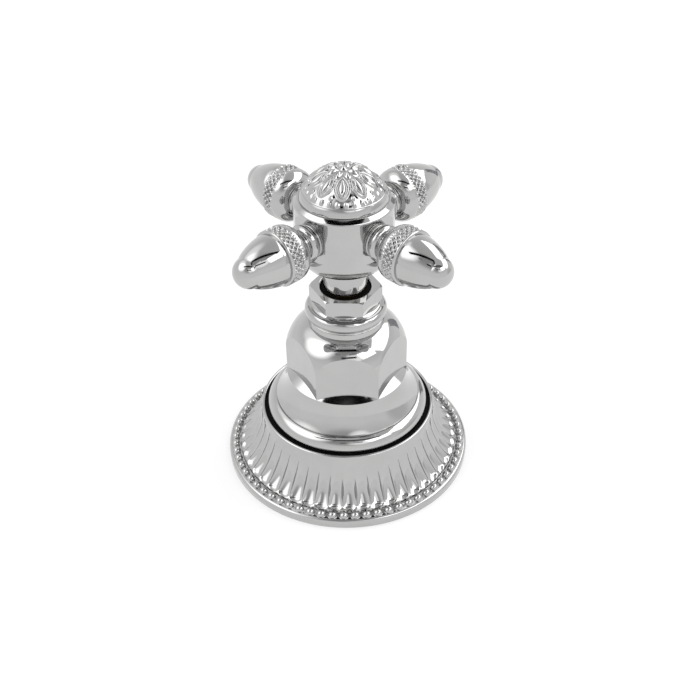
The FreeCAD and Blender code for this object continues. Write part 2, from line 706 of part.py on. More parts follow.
# Handle hub: neck, bowl, barrel with four milled faces, bored from both ends
bush_bore = of("spline_radius") + of("push_gap")
bush_radius = bush_bore + of("bush_wall")
web_foot = spline_top + of("axial_play")
web_top = web_foot + of("web_height")
seat_floor = hub_top - of("button_seat")
bowl_foot = hub_foot + of("hub_neck_height")
hub = new_body("handle_hub")
spun(hub, "hub_turned", [
    to(bush_radius + of("push_gap"), hub_foot),
    to(of("hub_neck_radius"), hub_foot),
    to(of("hub_neck_radius"), bowl_foot),
    round_out(of("hub_radius"), bowl_foot + of("hub_bowl_height"), of("hub_bowl_sweep")),
    to(of("hub_radius"), hub_top - of("hub_bevel_height")),
    to(of("hub_radius") - of("hub_bevel_width"), hub_top),
    to(of("button_seat_radius"), hub_top),
    to(of("button_seat_radius"), seat_floor),
    to(of("web_radius"), seat_floor),
    to(of("web_radius"), web_top),
    to(of("screw_radius") + of("thread_gap"), web_top),
    to(of("screw_radius") + of("thread_gap"), web_foot),
    to(bush_radius + of("push_gap"), web_foot),
])
face_reach = of("hub_radius") - of("face_depth")
stud_inner_end = face_reach - of("stud_seat")
hub_faces = Drawing(hub, "arm_face_outline", "XZ_Plane")
hub_faces.circle(of("face_radius"), 0, arm_height)
hub_faces.lift(face_reach)
face_cut = cut_through(hub, "arm_face", hub_faces, of("face_depth") + of("overrun"))
hub_holes = Drawing(hub, "stud_hole_outline", "XZ_Plane")
hub_holes.circle(of("stud_radius") + of("thread_gap"), 0, arm_height)
hub_holes.lift(stud_inner_end)
hole_cut = cut_through(hub, "stud_hole", hub_holes, of("stud_seat") + of("overrun"))
arm_places = hub.newObject("PartDesign::PolarPattern", "arm_places")
arm_places.Originals = [face_cut, hole_cut]
arm_places.Axis = (origin_feature(hub, "Z_Axis"), [""])
arm_places.Angle = 360.0
arm_places.Occurrences = ARM_COUNT
hub.Tip = arm_places
hub.Placement = FreeCAD.Placement(
    FreeCAD.Vector(0, 0, 0), FreeCAD.Rotation(FreeCAD.Vector(0, 0, 1), ARM_TURN))

ring("spline_bush", bush_bore, bush_radius, hub_foot + of("axial_play"), web_foot)

# Handle screw and its washer, which hold the hub on the spindle
screw_washer_top = web_top + of("plain_washer")
head_top = screw_washer_top + of("screw_head_height")
screw = turned("handle_screw", [
    to(0, spline_top - of("screw_bite")),
    to(of("screw_radius"), spline_top - of("screw_bite")),
    to(of("screw_radius"), screw_washer_top),
    to(of("screw_head_radius"), screw_washer_top),
    to(of("screw_head_radius"), head_top),
    to(0, head_top),
])
key_socket = Drawing(screw, "key_socket_outline", "XY_Plane")
key_socket.outline(polygon(of("key_flats") * HEXAGON_CORNER_SHARE, 6, 0))
key_socket.lift(head_top)
cut_through(screw, "key_socket", key_socket, of("key_depth"), False)
ring("screw_washer", of("screw_radius") + of("thread_gap"), of("web_radius") - of("push_gap"),
     web_top, screw_washer_top)

# Index button: a cap on a hollow plug, pushed into the hub and held by a ring
plug_radius = of("button_seat_radius") - of("push_gap")
plug_foot = hub_top - of("button_plug")
ring_low = plug_foot + (of("button_plug") - of("button_groove_width")) / 2
ring_high = ring_low + of("button_groove_width")
band_radius = of("button_radius") - of("button_band_draw")
hollow_radius = plug_radius - of("button_wall")
button_top = hub_top + of("button_band") + of("button_dome")
turned("index_button", [
    to(hollow_radius, plug_foot),
    to(plug_radius, plug_foot),
    to(plug_radius, ring_low),
    to(plug_radius - of("button_groove"), ring_low),
    to(plug_radius - of("button_groove"), ring_high),
    to(plug_radius, ring_high),
    to(plug_radius, hub_top),
    to(of("button_radius"), hub_top),
    round_out(band_radius, hub_top + of("button_band"), of("button_band_sweep")),
    round_out(0, button_top, cap_sweep(band_radius, of("button_dome"))),
    to(0, plug_foot + of("button_hollow")),
    to(hollow_radius, plug_foot + of("button_hollow")),
])
ring("button_ring", plug_radius - of("button_groove"), plug_radius, ring_low, ring_high)

# Arms: outlines run out along the arm, measured from the spindle's axis
collar_end = face_reach + of("collar_foot") + of("collar_bead") + of("collar_neck")
cap_end = collar_end + of("cap_back") + of("cap_band") + of("cap_lip")
nut_shoulder = cap_end + of("nut_foot")
nut_bend = nut_shoulder + of("nut_side")
nut_end = nut_bend + of("nut_tip")
stud_hole = of("stud_radius") + of("thread_gap")


def place_on_arm(piece, arm):
    """Lay a piece along one of the arms."""
    out_along_x = FreeCAD.Rotation(FreeCAD.Vector(0, 1, 0), 90)
    round_the_hub = FreeCAD.Rotation(FreeCAD.Vector(0, 0, 1), ARM_TURN + arm * 360.0 / ARM_COUNT)
    piece.Placement = FreeCAD.Placement(
        FreeCAD.Vector(0, 0, arm_height.value), round_the_hub.multiply(out_along_x))
    piece.setExpression("Placement.Base.z", arm_height.text)


def arm_collar(label):
    """The beaded collar between the hub's face and the acorn."""
    bead_start = face_reach + of("collar_foot")
    return turned(label, [
        to(stud_hole, face_reach),
        to(of("collar_radius"), face_reach),
        to(of("collar_radius"), bead_start),
        round_out(of("collar_neck_radius"), bead_start + of("collar_bead"), of("collar_sweep")),
        to(of("collar_neck_radius"), collar_end),
        to(stud_hole, collar_end),
    ])


def acorn_cap(label):
    """The acorn's cup: rounded back and the band that is knurled."""
    band_start = collar_end + of("cap_back")
    band_end = band_start + of("cap_band")
    return turned(label, [
        to(stud_hole, collar_end),
        to(of("cap_back_radius"), collar_end),
        round_out(of("cap_radius"), band_start, of("cap_back_sweep")),
        to(of("cap_radius"), band_end),
        round_out(of("cap_radius") - of("cap_lip"), cap_end, of("cap_lip")),
        to(stud_hole, cap_end),
    ])


def acorn_nut(label):
    """The acorn's smooth nut, with a blind thread for the stud."""
    return turned(label, [
        to(stud_hole, cap_end),
        to(of("nut_radius"), cap_end),
        to(of("nut_radius"), nut_shoulder),
        round_out(of("nut_tip_radius"), nut_bend, of("nut_side_sweep")),
        round_out(0, nut_end, cap_sweep(of("nut_tip_radius"), of("nut_tip"))),
        to(0, cap_end + of("nut_thread")),
        to(stud_hole, cap_end + of("nut_thread")),
    ])


for arm in range(ARM_COUNT):
    for label, make in (("arm_collar", arm_collar), ("acorn_cap", acorn_cap),
                        ("acorn_nut", acorn_nut)):
        place_on_arm(make(f"{label}_{arm + 1}"), arm)

# Arm studs: four plain rods, one under each acorn
stud_length = cap_end + of("nut_thread") - stud_inner_end - of("thread_gap") * 2
studs = []
for arm in range(ARM_COUNT):
    stud = doc.addObject("Part::Cylinder", f"arm_stud_{arm + 1}")
    stud.Radius = plain(of("stud_radius"))
    stud.setExpression("Radius", of("stud_radius").text)
    stud.Height = plain(stud_length)
    stud.setExpression("Height", stud_length.text)
    along = ARM_TURN + arm * 360.0 / ARM_COUNT
    start = stud_inner_end + of("thread_gap")
    reach_x = start * math.cos(math.radians(along))
    reach_y = start * math.sin(math.radians(along))
    place_on_arm(stud, arm)
    stud.Placement.Base = FreeCAD.Vector(reach_x.value, reach_y.value, arm_height.value)
    stud.setExpression("Placement.Base.x", reach_x.text)
    stud.setExpression("Placement.Base.y", reach_y.text)
    studs.append(stud)
stud_group = doc.addObject("Part::Compound", "arm_studs")
stud_group.Label = "arm_studs"
stud_group.Links = studs
pieces["arm_studs"] = stud_group

# Every object has to be sound before anything is written
doc.recompute()
for thing in doc.Objects:
    if "Invalid" in thing.State or "Error" in thing.State:
        raise ValueError(f"{thing.Label} failed: {thing.State}")
for label, piece in pieces.items():
    shape = piece.Shape
    if shape.isNull() or not shape.isValid() or shape.Volume <= 0:
        raise ValueError(label + " is no sound solid")
    box = shape.BoundBox
    print(f"{label:20s} solids {len(shape.Solids)}  volume {shape.Volume:9.1f} mm3  "
          f"z {box.ZMin:6.2f} to {box.ZMax:6.2f}")
    shape.exportStep(f"parts/{label}.step")
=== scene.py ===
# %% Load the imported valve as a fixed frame
import json
import math

import bmesh
import bpy
from mathutils import Matrix, Vector


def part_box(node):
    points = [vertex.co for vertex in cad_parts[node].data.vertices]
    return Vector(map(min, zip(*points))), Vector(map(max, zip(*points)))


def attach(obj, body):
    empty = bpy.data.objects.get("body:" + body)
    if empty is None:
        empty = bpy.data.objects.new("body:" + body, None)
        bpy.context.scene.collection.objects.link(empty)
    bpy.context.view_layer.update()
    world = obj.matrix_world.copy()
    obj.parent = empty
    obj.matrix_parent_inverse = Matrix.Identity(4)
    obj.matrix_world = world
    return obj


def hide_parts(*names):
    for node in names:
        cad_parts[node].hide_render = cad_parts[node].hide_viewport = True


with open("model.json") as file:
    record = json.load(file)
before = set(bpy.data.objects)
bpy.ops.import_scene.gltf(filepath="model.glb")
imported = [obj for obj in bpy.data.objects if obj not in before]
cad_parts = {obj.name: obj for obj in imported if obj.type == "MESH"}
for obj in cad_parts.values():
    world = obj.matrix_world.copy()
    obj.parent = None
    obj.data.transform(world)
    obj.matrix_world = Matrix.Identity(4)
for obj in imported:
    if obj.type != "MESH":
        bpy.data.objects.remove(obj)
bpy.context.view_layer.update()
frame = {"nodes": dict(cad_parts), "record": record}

MM = 0.001

# %% [markdown]
# A shut-off valve's trim is turned brass, polished and then plated with chrome. Nearly every
# piece is a body of revolution, so the first helpers draw half a section and spin it. An
# outline is a list of corners, in millimetres, and a corner may be reached along an arc,
# because a lathe leaves arcs, and an arc is what catches the light well on chrome.

# %% Corners of an outline
def to(radius, height):
    """A straight run to a corner."""
    return (radius, height, None, 0)


def out_to(radius, height, sweep):
    """An arc that swells out of the metal."""
    return (radius, height, sweep, 1)


def in_to(radius, height, sweep):
    """An arc that hollows the metal."""
    return (radius, height, sweep, -1)


def cap_sweep(radius, height):
    """The radius of a ball whose cap has this foot radius and height."""
    return (radius * radius + height * height) / (2 * height)


# %% Points along the runs and arcs
def arc_centre(start, end, sweep, side):
    """The centre of the short arc between two points, on the left or the right of the run."""
    half = (end - start) / 2
    reach = math.sqrt(max(sweep * sweep - half.length_squared, 0.0))
    left = Vector((-half.y, half.x)).normalized()
    return (start + end) / 2 + left * reach * side


def trace(corners, degrees):
    """The points of an outline, with those of an arc at most so many degrees apart."""
    points = []
    for index, (x, y, sweep, side) in enumerate(corners):
        end = Vector((x, y))
        if sweep is not None:
            start = Vector(corners[index - 1][:2])
            centre = arc_centre(start, end, sweep, side)
            spoke = start - centre
            turn = spoke.angle_signed(end - centre) * -1
            count = max(2, math.ceil(abs(turn) / math.radians(degrees)))
            for share in range(1, count):
                points.append(centre + Matrix.Rotation(turn * share / count, 2) @ spoke)
        points.append(end)
    return points


# %% [markdown]
# The spin operator is Blender's lathe. A full spin merges its last step with its first. For a
# pattern that repeats round a circle, only one wedge is spun, and the same operator then
# copies the finished wedge, so the pattern is shaped once and is the same everywhere.

# %% Spin an outline into a turned piece
MERGE_DISTANCE = 0.0005 * MM
Z_AXIS = (0, 0, 1)


def close_seams(bm):
    """Merge the vertices that meet and turn all faces outwards."""
    bmesh.ops.remove_doubles(bm, verts=bm.verts, dist=MERGE_DISTANCE)
    bmesh.ops.recalc_face_normals(bm, faces=bm.faces)


def spin_outline(points, steps, share=1.0):
    """Spin a closed outline about the z axis, all round or by a share of the circle."""
    bm = bmesh.new()
    verts = [bm.verts.new((p.x * MM, 0, p.y * MM)) for p in points]
    edges = [bm.edges.new(pair) for pair in zip(verts, verts[1:])]
    edges.append(bm.edges.new((verts[-1], verts[0])))
    bmesh.ops.spin(bm, geom=verts + edges, cent=(0, 0, 0), axis=Z_AXIS,
                   angle=math.tau * share, steps=steps, use_merge=share == 1.0)
    close_seams(bm)
    return bm


def repeat_round(bm, count):
    """Repeat a wedge, or a piece that stands free, until it fills the circle."""
    geometry = bm.verts[:] + bm.edges[:] + bm.faces[:]
    bmesh.ops.spin(bm, geom=geometry, cent=(0, 0, 0), axis=Z_AXIS, use_duplicate=True,
                   angle=math.tau * (count - 1) / count, steps=count - 1)
    close_seams(bm)


def join(target, other):
    """Add one bmesh to another."""
    mesh = bpy.data.meshes.new("joined")
    other.to_mesh(mesh)
    other.free()
    target.from_mesh(mesh)
    bpy.data.meshes.remove(mesh)


# %% [markdown]
# Materials are node trees. Written node by node they are long, so one small class wraps an
# output socket and lets an ordinary expression such as `1 - mask * 0.3` add the Math nodes.
# A second class wraps the tree itself, with one method that adds any other node. Colours go
# through Mix nodes, because a Math node would turn them grey.

# %% A socket that can be used in sums
class Signal:
    """An output socket of a node tree, with arithmetic."""

    def __init__(self, shading, socket):
        self.shading = shading
        self.socket = socket

    def math(self, operation, first, second):
        return self.shading.node("ShaderNodeMath", {"operation": operation},
                                 {0: first, 1: second})

    def __add__(self, other):
        return self.math("ADD", self, other)

    def __radd__(self, other):
        return self.math("ADD", other, self)

    def __sub__(self, other):
        return self.math("SUBTRACT", self, other)

    def __rsub__(self, other):
        return self.math("SUBTRACT", other, self)

    def __mul__(self, other):
        return self.math("MULTIPLY", self, other)

    def __rmul__(self, other):
        return self.math("MULTIPLY", other, self)


# %% A tree that adds nodes
class Shading:
    """A node tree, of a material or of the world, with one method that adds any node."""

    def __init__(self, tree):
        self.tree = tree

    def feed(self, socket, value):
        """Link a signal to an input socket, or set the socket to a plain value."""
        if isinstance(value, Signal):
            self.tree.links.new(value.socket, socket)
        else:
            socket.default_value = value

    def node(self, kind, settings=None, inputs=None, output=0):
        """Add a node, set it up, fill its sockets and hand back one output."""
        made = self.tree.nodes.new(kind)
        for key, value in (settings or {}).items():
            setattr(made, key, value)
        for key, value in (inputs or {}).items():
            self.feed(made.inputs[key], value)
        return Signal(self, made.outputs[output])


# %% A finish
class Finish(Shading):
    """A material with one Principled shader, and the patterns that the finishes share."""

    def __init__(self, name):
        self.material = bpy.data.materials.new(name)
        self.material.use_nodes = True
        super().__init__(self.material.node_tree)
        self.shader = self.tree.nodes["Principled BSDF"]
        self.place = self.node("ShaderNodeTexCoord", output="Object")

    def noise(self, scale, detail):
        """A noise whose scale is how many patches lie in one millimetre."""
        place = self.node("ShaderNodeMapping", None,
                          {"Vector": self.place, "Scale": (1 / MM, 1 / MM, 1 / MM)})
        return self.node("ShaderNodeTexNoise", None,
                         {"Vector": place, "Scale": scale, "Detail": detail})

    def mix(self, factor, first, second):
        """A colour between two colours."""
        return self.node("ShaderNodeMix", {"data_type": "RGBA"},
                         {0: factor, 6: first, 7: second}, output=2)

    def bump(self, height, depth):
        """Tilt the surface by a height field, whose depth is in millimetres."""
        return self.node("ShaderNodeBump", None,
                         {"Height": height, "Distance": depth * MM, "Strength": 1.0})

    def set(self, **values):
        """Set or link the shader's sockets, named with _ for a space."""
        for key, value in values.items():
            self.feed(self.shader.inputs[key.replace("_", " ")], value)
        return self.material


def tone(colour, share=1.0):
    """A colour made darker or lighter, with full alpha."""
    return (*[min(channel * share, 1) for channel in colour], 1)


# %% [markdown]
# Chrome plate is a mirror with a cool cast. What keeps it from looking like a render is what
# polishing leaves: a roughness that wanders a little, a hint of orange peel and water film
# that dulls small patches. All of it is faint, because the photographed trim is new.

# %% Chrome
CHROME_CAST = (0.478, 0.476, 0.474)
POLISH_ROUGHNESS = 0.035
FILM_ROUGHNESS = 0.05
GRAIN_ROUGHNESS = 0.02
ORANGE_PEEL = 0.004


def chrome_finish():
    """Polished chrome plate under a faint water film."""
    finish = Finish("chrome_plate")
    film = finish.noise(scale=0.16, detail=4.0)
    grain = finish.noise(scale=6.0, detail=2.0)
    peel = finish.noise(scale=0.5, detail=2.0)
    return finish.set(
        Base_Color=finish.mix(film, tone(CHROME_CAST, share=0.93), tone(CHROME_CAST, share=1.07)),
        Metallic=1.0,
        Roughness=POLISH_ROUGHNESS + film * FILM_ROUGHNESS + grain * GRAIN_ROUGHNESS,
        Normal=finish.bump(peel, ORANGE_PEEL),
    )


# %% [markdown]
# The inner pieces are plainer: brass as it leaves the lathe, with fine rings left by the
# tool, stainless steel, lapped white ceramic, black moulded rubber, nylon, red fibre and
# grey foam. They hardly show, but a reader who hides the chrome should find them finished.

# %% The inner finishes
RING_SCALE = 900.0
RING_DEPTH = 0.01
STAIN_ROUGHNESS = 0.12
CLOUD_ROUGHNESS = 0.1


def turned_metal(name, colour, roughness):
    """Bare metal with the fine rings that a lathe leaves."""
    finish = Finish(name)
    rings = finish.node("ShaderNodeTexWave", {"wave_type": "BANDS", "bands_direction": "Z"},
                        {"Vector": finish.place, "Scale": RING_SCALE, "Distortion": 0.4})
    stain = finish.noise(scale=0.3, detail=4.0)
    return finish.set(
        Base_Color=finish.mix(stain, tone(colour, share=0.82), tone(colour)),
        Metallic=1.0,
        Roughness=roughness + stain * STAIN_ROUGHNESS,
        Normal=finish.bump(rings, RING_DEPTH),
    )


def moulded(name, colour, roughness, grain_depth, grain_scale=4.0, sheen=0.5):
    """Rubber, nylon, fibre, foam or ceramic with its own grain."""
    finish = Finish(name)
    cloud = finish.noise(scale=0.4, detail=4.0)
    grain = finish.noise(grain_scale, detail=3.0)
    return finish.set(
        Base_Color=finish.mix(cloud, tone(colour), tone(colour, share=1.3)),
        Roughness=roughness + cloud * CLOUD_ROUGHNESS,
        Specular_IOR_Level=sheen,
        Normal=finish.bump(grain, grain_depth),
    )


# %% One finish for each slot of the record
chrome = chrome_finish()
FINISHES = {
    "chrome": chrome,
    "brass": turned_metal("bare_brass", (0.78, 0.60, 0.30), roughness=0.22),
    "steel": turned_metal("stainless", (0.62, 0.62, 0.64), roughness=0.25),
    "ceramic": moulded("lapped_ceramic", (0.90, 0.89, 0.85), roughness=0.12,
                       grain_depth=0.001),
    "black_rubber": moulded("moulded_rubber", (0.003, 0.003, 0.003), roughness=0.7,
                            grain_depth=0.01, sheen=0.1),
    "white_nylon": moulded("natural_nylon", (0.84, 0.84, 0.80), roughness=0.38,
                           grain_depth=0.004),
    "red_fibre": moulded("red_fibre_sheet", (0.42, 0.11, 0.07), roughness=0.70,
                         grain_depth=0.02),
    "grey_foam": moulded("closed_foam", (0.32, 0.32, 0.33), roughness=0.85,
                         grain_depth=0.05, grain_scale=2.0),
}
for part in frame["record"]["subparts"]:
    node = frame["nodes"][part["node"]]
    node.data.materials.clear()
    node.data.materials.append(FINISHES[part["material_slot"]])
print("finishes:", sorted(FINISHES))

# %% [markdown]
# The outer pieces are made anew, with the ornament that the construction model leaves out.
# Each one stands for a node of the frame: it rides on that node's body, hides the node and
# is plated with chrome. Smooth shading with a limit angle keeps turned faces round and lets
# edges sharper than the limit stay crisp.

# %% A chromed piece in place of a node
def chromed(bm, name, body, node, sharp):
    """Make an object of a bmesh, plate it and let it ride on its body for a node."""
    mesh = bpy.data.meshes.new(name)
    bm.to_mesh(mesh)
    bm.free()
    mesh.shade_smooth()
    mesh.set_sharp_from_angle(angle=math.radians(sharp))
    mesh.materials.append(chrome)
    obj = bpy.data.objects.new(name, mesh)
    bpy.context.scene.collection.objects.link(obj)
    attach(obj, body)
    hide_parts(node)
    print(f"{name}: {len(mesh.polygons)} faces")


# %% [markdown]
# The frame says where each piece sits. These are the heights that several pieces share, read
# from the boxes of the construction model, so no piece of the valve is placed by eye.

# %% Shared heights and radii
def low(node):
    """The lowest height of a node, in millimetres."""
    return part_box(node)[0].z / MM


def high(node):
    """The highest height of a node, in millimetres."""
    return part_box(node)[1].z / MM


plate_top = high("escutcheon")
plate_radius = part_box("escutcheon")[1].x / MM
bell_foot = low("bell")
bell_top = high("bell")
gland_top = high("gland_nut")
hub_foot = low("handle_hub")
hub_top = high("handle_hub")
button_top = high("index_button")
arm_height = (low("acorn_cap_1") + high("acorn_cap_1")) / 2
print(f"heights: plate {plate_top:.2f} bell {bell_top:.2f} hub {hub_top:.2f} arms {arm_height:.2f}")

# %% [markdown]
# The escutcheon is the plate on the wall, and the richest piece: a hollow slope of fifty
# flutes, a string of beads below them and a smooth rolled rim above. It could be sculpted,
# but a pattern that repeats fifty times needs to be shaped only once, so one wedge of it is
# spun here. The slope gets many points, because the flutes are pressed into them later.

# %% The escutcheon's rim and slope
PLATE_EDGE = 2.4
BROKEN_EDGE = 0.15
EDGE_ROUND = 0.75
BEAD_CIRCLE = 29.95
BEAD_RADIUS = 1.05
BEAD_CHANNEL_SWEEP = 5.0
BEAD_CHANNEL_STEP = 0.1
SLOPE_FOOT_GAP = 0.25
SLOPE_FOOT_RISE = 0.5
SLOPE_SWEEP = 20.0
MOUTH_RADIUS = 21.5
RIM_ROLL = 0.42
slope_foot = Vector((BEAD_CIRCLE - BEAD_RADIUS - SLOPE_FOOT_GAP, PLATE_EDGE + SLOPE_FOOT_RISE))
slope_top = Vector((MOUTH_RADIUS + 2 * RIM_ROLL, plate_top - RIM_ROLL))
slope_centre = arc_centre(slope_foot, slope_top, SLOPE_SWEEP, -1)
plate_outline = trace([
    to(plate_radius - BROKEN_EDGE, 0),
    to(plate_radius, BROKEN_EDGE),
    to(plate_radius, PLATE_EDGE - EDGE_ROUND),
    out_to(plate_radius - EDGE_ROUND, PLATE_EDGE, EDGE_ROUND),
    in_to(slope_foot.x + BEAD_CHANNEL_STEP, PLATE_EDGE, BEAD_CHANNEL_SWEEP),
    to(*slope_foot),
], degrees=14)
plate_outline += trace([to(*slope_foot), in_to(*slope_top, SLOPE_SWEEP)], degrees=0.8)[1:]
print("escutcheon: slope from", slope_foot, "to", slope_top)

# %% The escutcheon's mouth and hollow back
FLUTES = 50
FLUTE_STEPS = 12
PLATE_WALL = 1.7
LEDGE_WALL = 1.2
LEDGE_HOLE = 17.5
LEDGE_INSET = 0.4
GASKET_WIDTH = 2.4
GASKET_BED = 1.6
back_radius = plate_radius - PLATE_WALL
plate_outline += trace([
    to(*slope_top),
    out_to(MOUTH_RADIUS + RIM_ROLL, plate_top, RIM_ROLL),
    out_to(MOUTH_RADIUS, plate_top - RIM_ROLL, RIM_ROLL),
    to(MOUTH_RADIUS, bell_foot),
    to(LEDGE_HOLE, bell_foot),
    to(LEDGE_HOLE, bell_foot - LEDGE_WALL),
    to(MOUTH_RADIUS - LEDGE_INSET, bell_foot - LEDGE_WALL),
    out_to(back_radius - GASKET_WIDTH, GASKET_BED, SLOPE_SWEEP + PLATE_WALL),
    to(back_radius, GASKET_BED),
    to(back_radius, 0),
], degrees=18)[1:]
escutcheon = spin_outline(plate_outline, FLUTE_STEPS, share=1 / FLUTES)
print("escutcheon wedge:", len(escutcheon.verts), "vertices")

# %% [markdown]
# A flute is a long shallow bowl with a round foot that runs out below the rolled rim. It
# could be cut with fifty Boolean tools, but neighbours that touch make such cuts fragile.
# Here each vertex of the slope is pushed into the metal, square to the slope, as deep as a
# formula says for its place. The depth is 0 where two flutes meet, which leaves a fine ridge.

# %% Press one flute and repeat it
FLUTE_DEPTH = 0.85
FLUTE_ROUNDNESS = 0.7
FLUTE_END_SHARE = 0.08
FLUTE_FADE_SHARE = 0.97
FLUTE_FADE_GAIN = 1.5
FLUTE_FOOT_DEPTH = 0.6
FLUTE_FOOT_GAIN = 1.6
ON_SLOPE = 0.01


def flute_depth(turn, rise):
    """How deep a flute is, for a turn in flutes and a share of the slope's height."""
    across = (turn % 1.0) * 2 - 1
    below = max(0.0, (FLUTE_END_SHARE - rise) / FLUTE_END_SHARE)
    bowl = max(0.0, 1 - across * across - below * below)
    fade = max(0.0, 1 - rise / FLUTE_FADE_SHARE)
    top_share = min(1.0, fade * FLUTE_FADE_GAIN)
    foot_share = min(1.0, FLUTE_FOOT_DEPTH + FLUTE_FOOT_GAIN * rise)
    return FLUTE_DEPTH * bowl ** FLUTE_ROUNDNESS * top_share * foot_share


for vert in escutcheon.verts:
    spot = Vector((vert.co.xy.length / MM, vert.co.z / MM))
    spoke = spot - slope_centre
    rise = (spot.y - slope_foot.y) / (slope_top.y - slope_foot.y)
    if abs(spoke.length - SLOPE_SWEEP) < ON_SLOPE and 0 < rise < 1:
        turn = math.atan2(vert.co.y, vert.co.x) / math.tau * FLUTES
        moved = spot + spoke.normalized() * flute_depth(turn, rise)
        vert.co.xy = vert.co.xy.normalized() * moved.x * MM
        vert.co.z = moved.y * MM
repeat_round(escutcheon, FLUTES)
print("flutes:", FLUTES, "escutcheon", len(escutcheon.verts), "vertices")

# %% [markdown]
# The bead roll is a string of sixty-six small balls that touch. On the real plate they are
# pressed in one piece with it. A ball is made once, stretched a little along the circle so
# that it meets its neighbours, and repeated round the circle like the wedge.

# %% Set the beads
BEADS = 66
BEAD_STRETCH = 1.12
BEAD_LIFT = 0.05
bead = bmesh.new()
bmesh.ops.create_uvsphere(bead, u_segments=16, v_segments=10, radius=BEAD_RADIUS * MM)
bmesh.ops.scale(bead, verts=bead.verts, vec=(1.0, BEAD_STRETCH, 1.0))
bmesh.ops.translate(bead, verts=bead.verts,
                    vec=Vector((BEAD_CIRCLE, 0, PLATE_EDGE + BEAD_LIFT)) * MM)
repeat_round(bead, BEADS)
join(escutcheon, bead)
chromed(escutcheon, "fluted_escutcheon", "valve", "escutcheon", sharp=50)

# %% [markdown]
# The bell covers the headwork. It is one turning with a rolled foot, a hollow skirt and a
# dome, and a hexagon milled across it so that a spanner can hold it. The milling is copied
# with planes: the dome and barrel are spun, and six bisecting planes cut away what stands
# outside the flats. The skirt is spun on its own and meets the hexagon at a sloped shoulder.

# %% Cut flats with planes
CUT_TOLERANCE = 1e-8


def mill_flats(bm, half_flats, turn=0.0):
    """Cut six flats, each a plane, and fill each cut with one face."""
    for side in range(6):
        angle = math.radians(turn + 30 + 60 * side)
        outwards = Vector((math.cos(angle), math.sin(angle), 0))
        geometry = bm.verts[:] + bm.edges[:] + bm.faces[:]
        cut = bmesh.ops.bisect_plane(bm, geom=geometry, dist=CUT_TOLERANCE, plane_no=outwards,
                                     plane_co=outwards * half_flats * MM, clear_outer=True)
        rim = [e for e in cut["geom_cut"] if isinstance(e, bmesh.types.BMEdge)]
        bmesh.ops.edgeloop_fill(bm, edges=rim)
    bmesh.ops.recalc_face_normals(bm, faces=bm.faces)


# %% The bell's hexagon and dome
BELL_FLATS = 26.3
BELL_BORE = 7.2
BELL_STEPS = 240
SHOULDER_RISE = 12.5
INNER_SLOPE_RISE = 2.5
CROWN_RADIUS = 9.15
CROWN_RISE = 8.3
CROWN_SWEEP = 8.5
barrel_radius = BELL_FLATS / math.sqrt(3)
shoulder = bell_foot + SHOULDER_RISE
bell = spin_outline(trace([
    to(BELL_BORE, shoulder + INNER_SLOPE_RISE),
    to(barrel_radius, shoulder),
    to(barrel_radius, bell_top - CROWN_RISE),
    out_to(CROWN_RADIUS, bell_top, CROWN_SWEEP),
    to(BELL_BORE, bell_top),
], degrees=2.5), BELL_STEPS)
mill_flats(bell, BELL_FLATS / 2)
print("bell: hexagon", BELL_FLATS, "mm across its flats")

# %% The bell's rolled foot and skirt
BELL_FOOT_RADIUS = 20.5
BELL_FOOT_BORE = 17.5
FOOT_EDGE = 0.7
FOOT_ROLL_RADIUS = 18.45
FOOT_ROLL_RISE = 4.75
FOOT_ROLL_SWEEP = 3.1
GROOVE_RADIUS = 18.0
GROOVE_FOOT_RISE = 4.7
GROOVE_TOP_RISE = 5.1
SKIRT_FOOT_RADIUS = 18.25
SKIRT_FOOT_RISE = 5.2
SKIRT_SWEEP = 12.0
SHOULDER_TUCK = 0.25
SHOULDER_TOP_RISE = 1.55
SKIRT_LIP_RADIUS = 11.4
SKIRT_LIP_RISE = 1.2
SKIRT_INSIDE_RADIUS = 13.1
SKIRT_INSIDE_DROP = 1.7
join(bell, spin_outline(trace([
    to(BELL_FOOT_BORE, bell_foot),
    to(BELL_FOOT_RADIUS, bell_foot),
    to(BELL_FOOT_RADIUS, bell_foot + FOOT_EDGE),
    out_to(FOOT_ROLL_RADIUS, bell_foot + FOOT_ROLL_RISE, FOOT_ROLL_SWEEP),
    to(GROOVE_RADIUS, bell_foot + GROOVE_FOOT_RISE),
    to(GROOVE_RADIUS, bell_foot + GROOVE_TOP_RISE),
    to(SKIRT_FOOT_RADIUS, bell_foot + SKIRT_FOOT_RISE),
    in_to(barrel_radius, shoulder, SKIRT_SWEEP),
    to(BELL_FLATS / 2 - SHOULDER_TUCK, shoulder + SHOULDER_TOP_RISE),
    to(SKIRT_LIP_RADIUS, shoulder + SKIRT_LIP_RISE),
    to(SKIRT_INSIDE_RADIUS, shoulder - SKIRT_INSIDE_DROP),
], degrees=3), BELL_STEPS))
chromed(bell, "hexagon_bell", "valve", "bell", sharp=24)

# %% [markdown]
# The gland nut is the small nut above the bell. It screws on the headwork's neck and presses
# the bell down. It has a foot ring, a rolled collar, a cove and six flats, and the black seal
# shows in its mouth. It is made in the bell's two steps, and its hexagon stands turned by
# three degrees, as a nut comes to rest where it is tight.

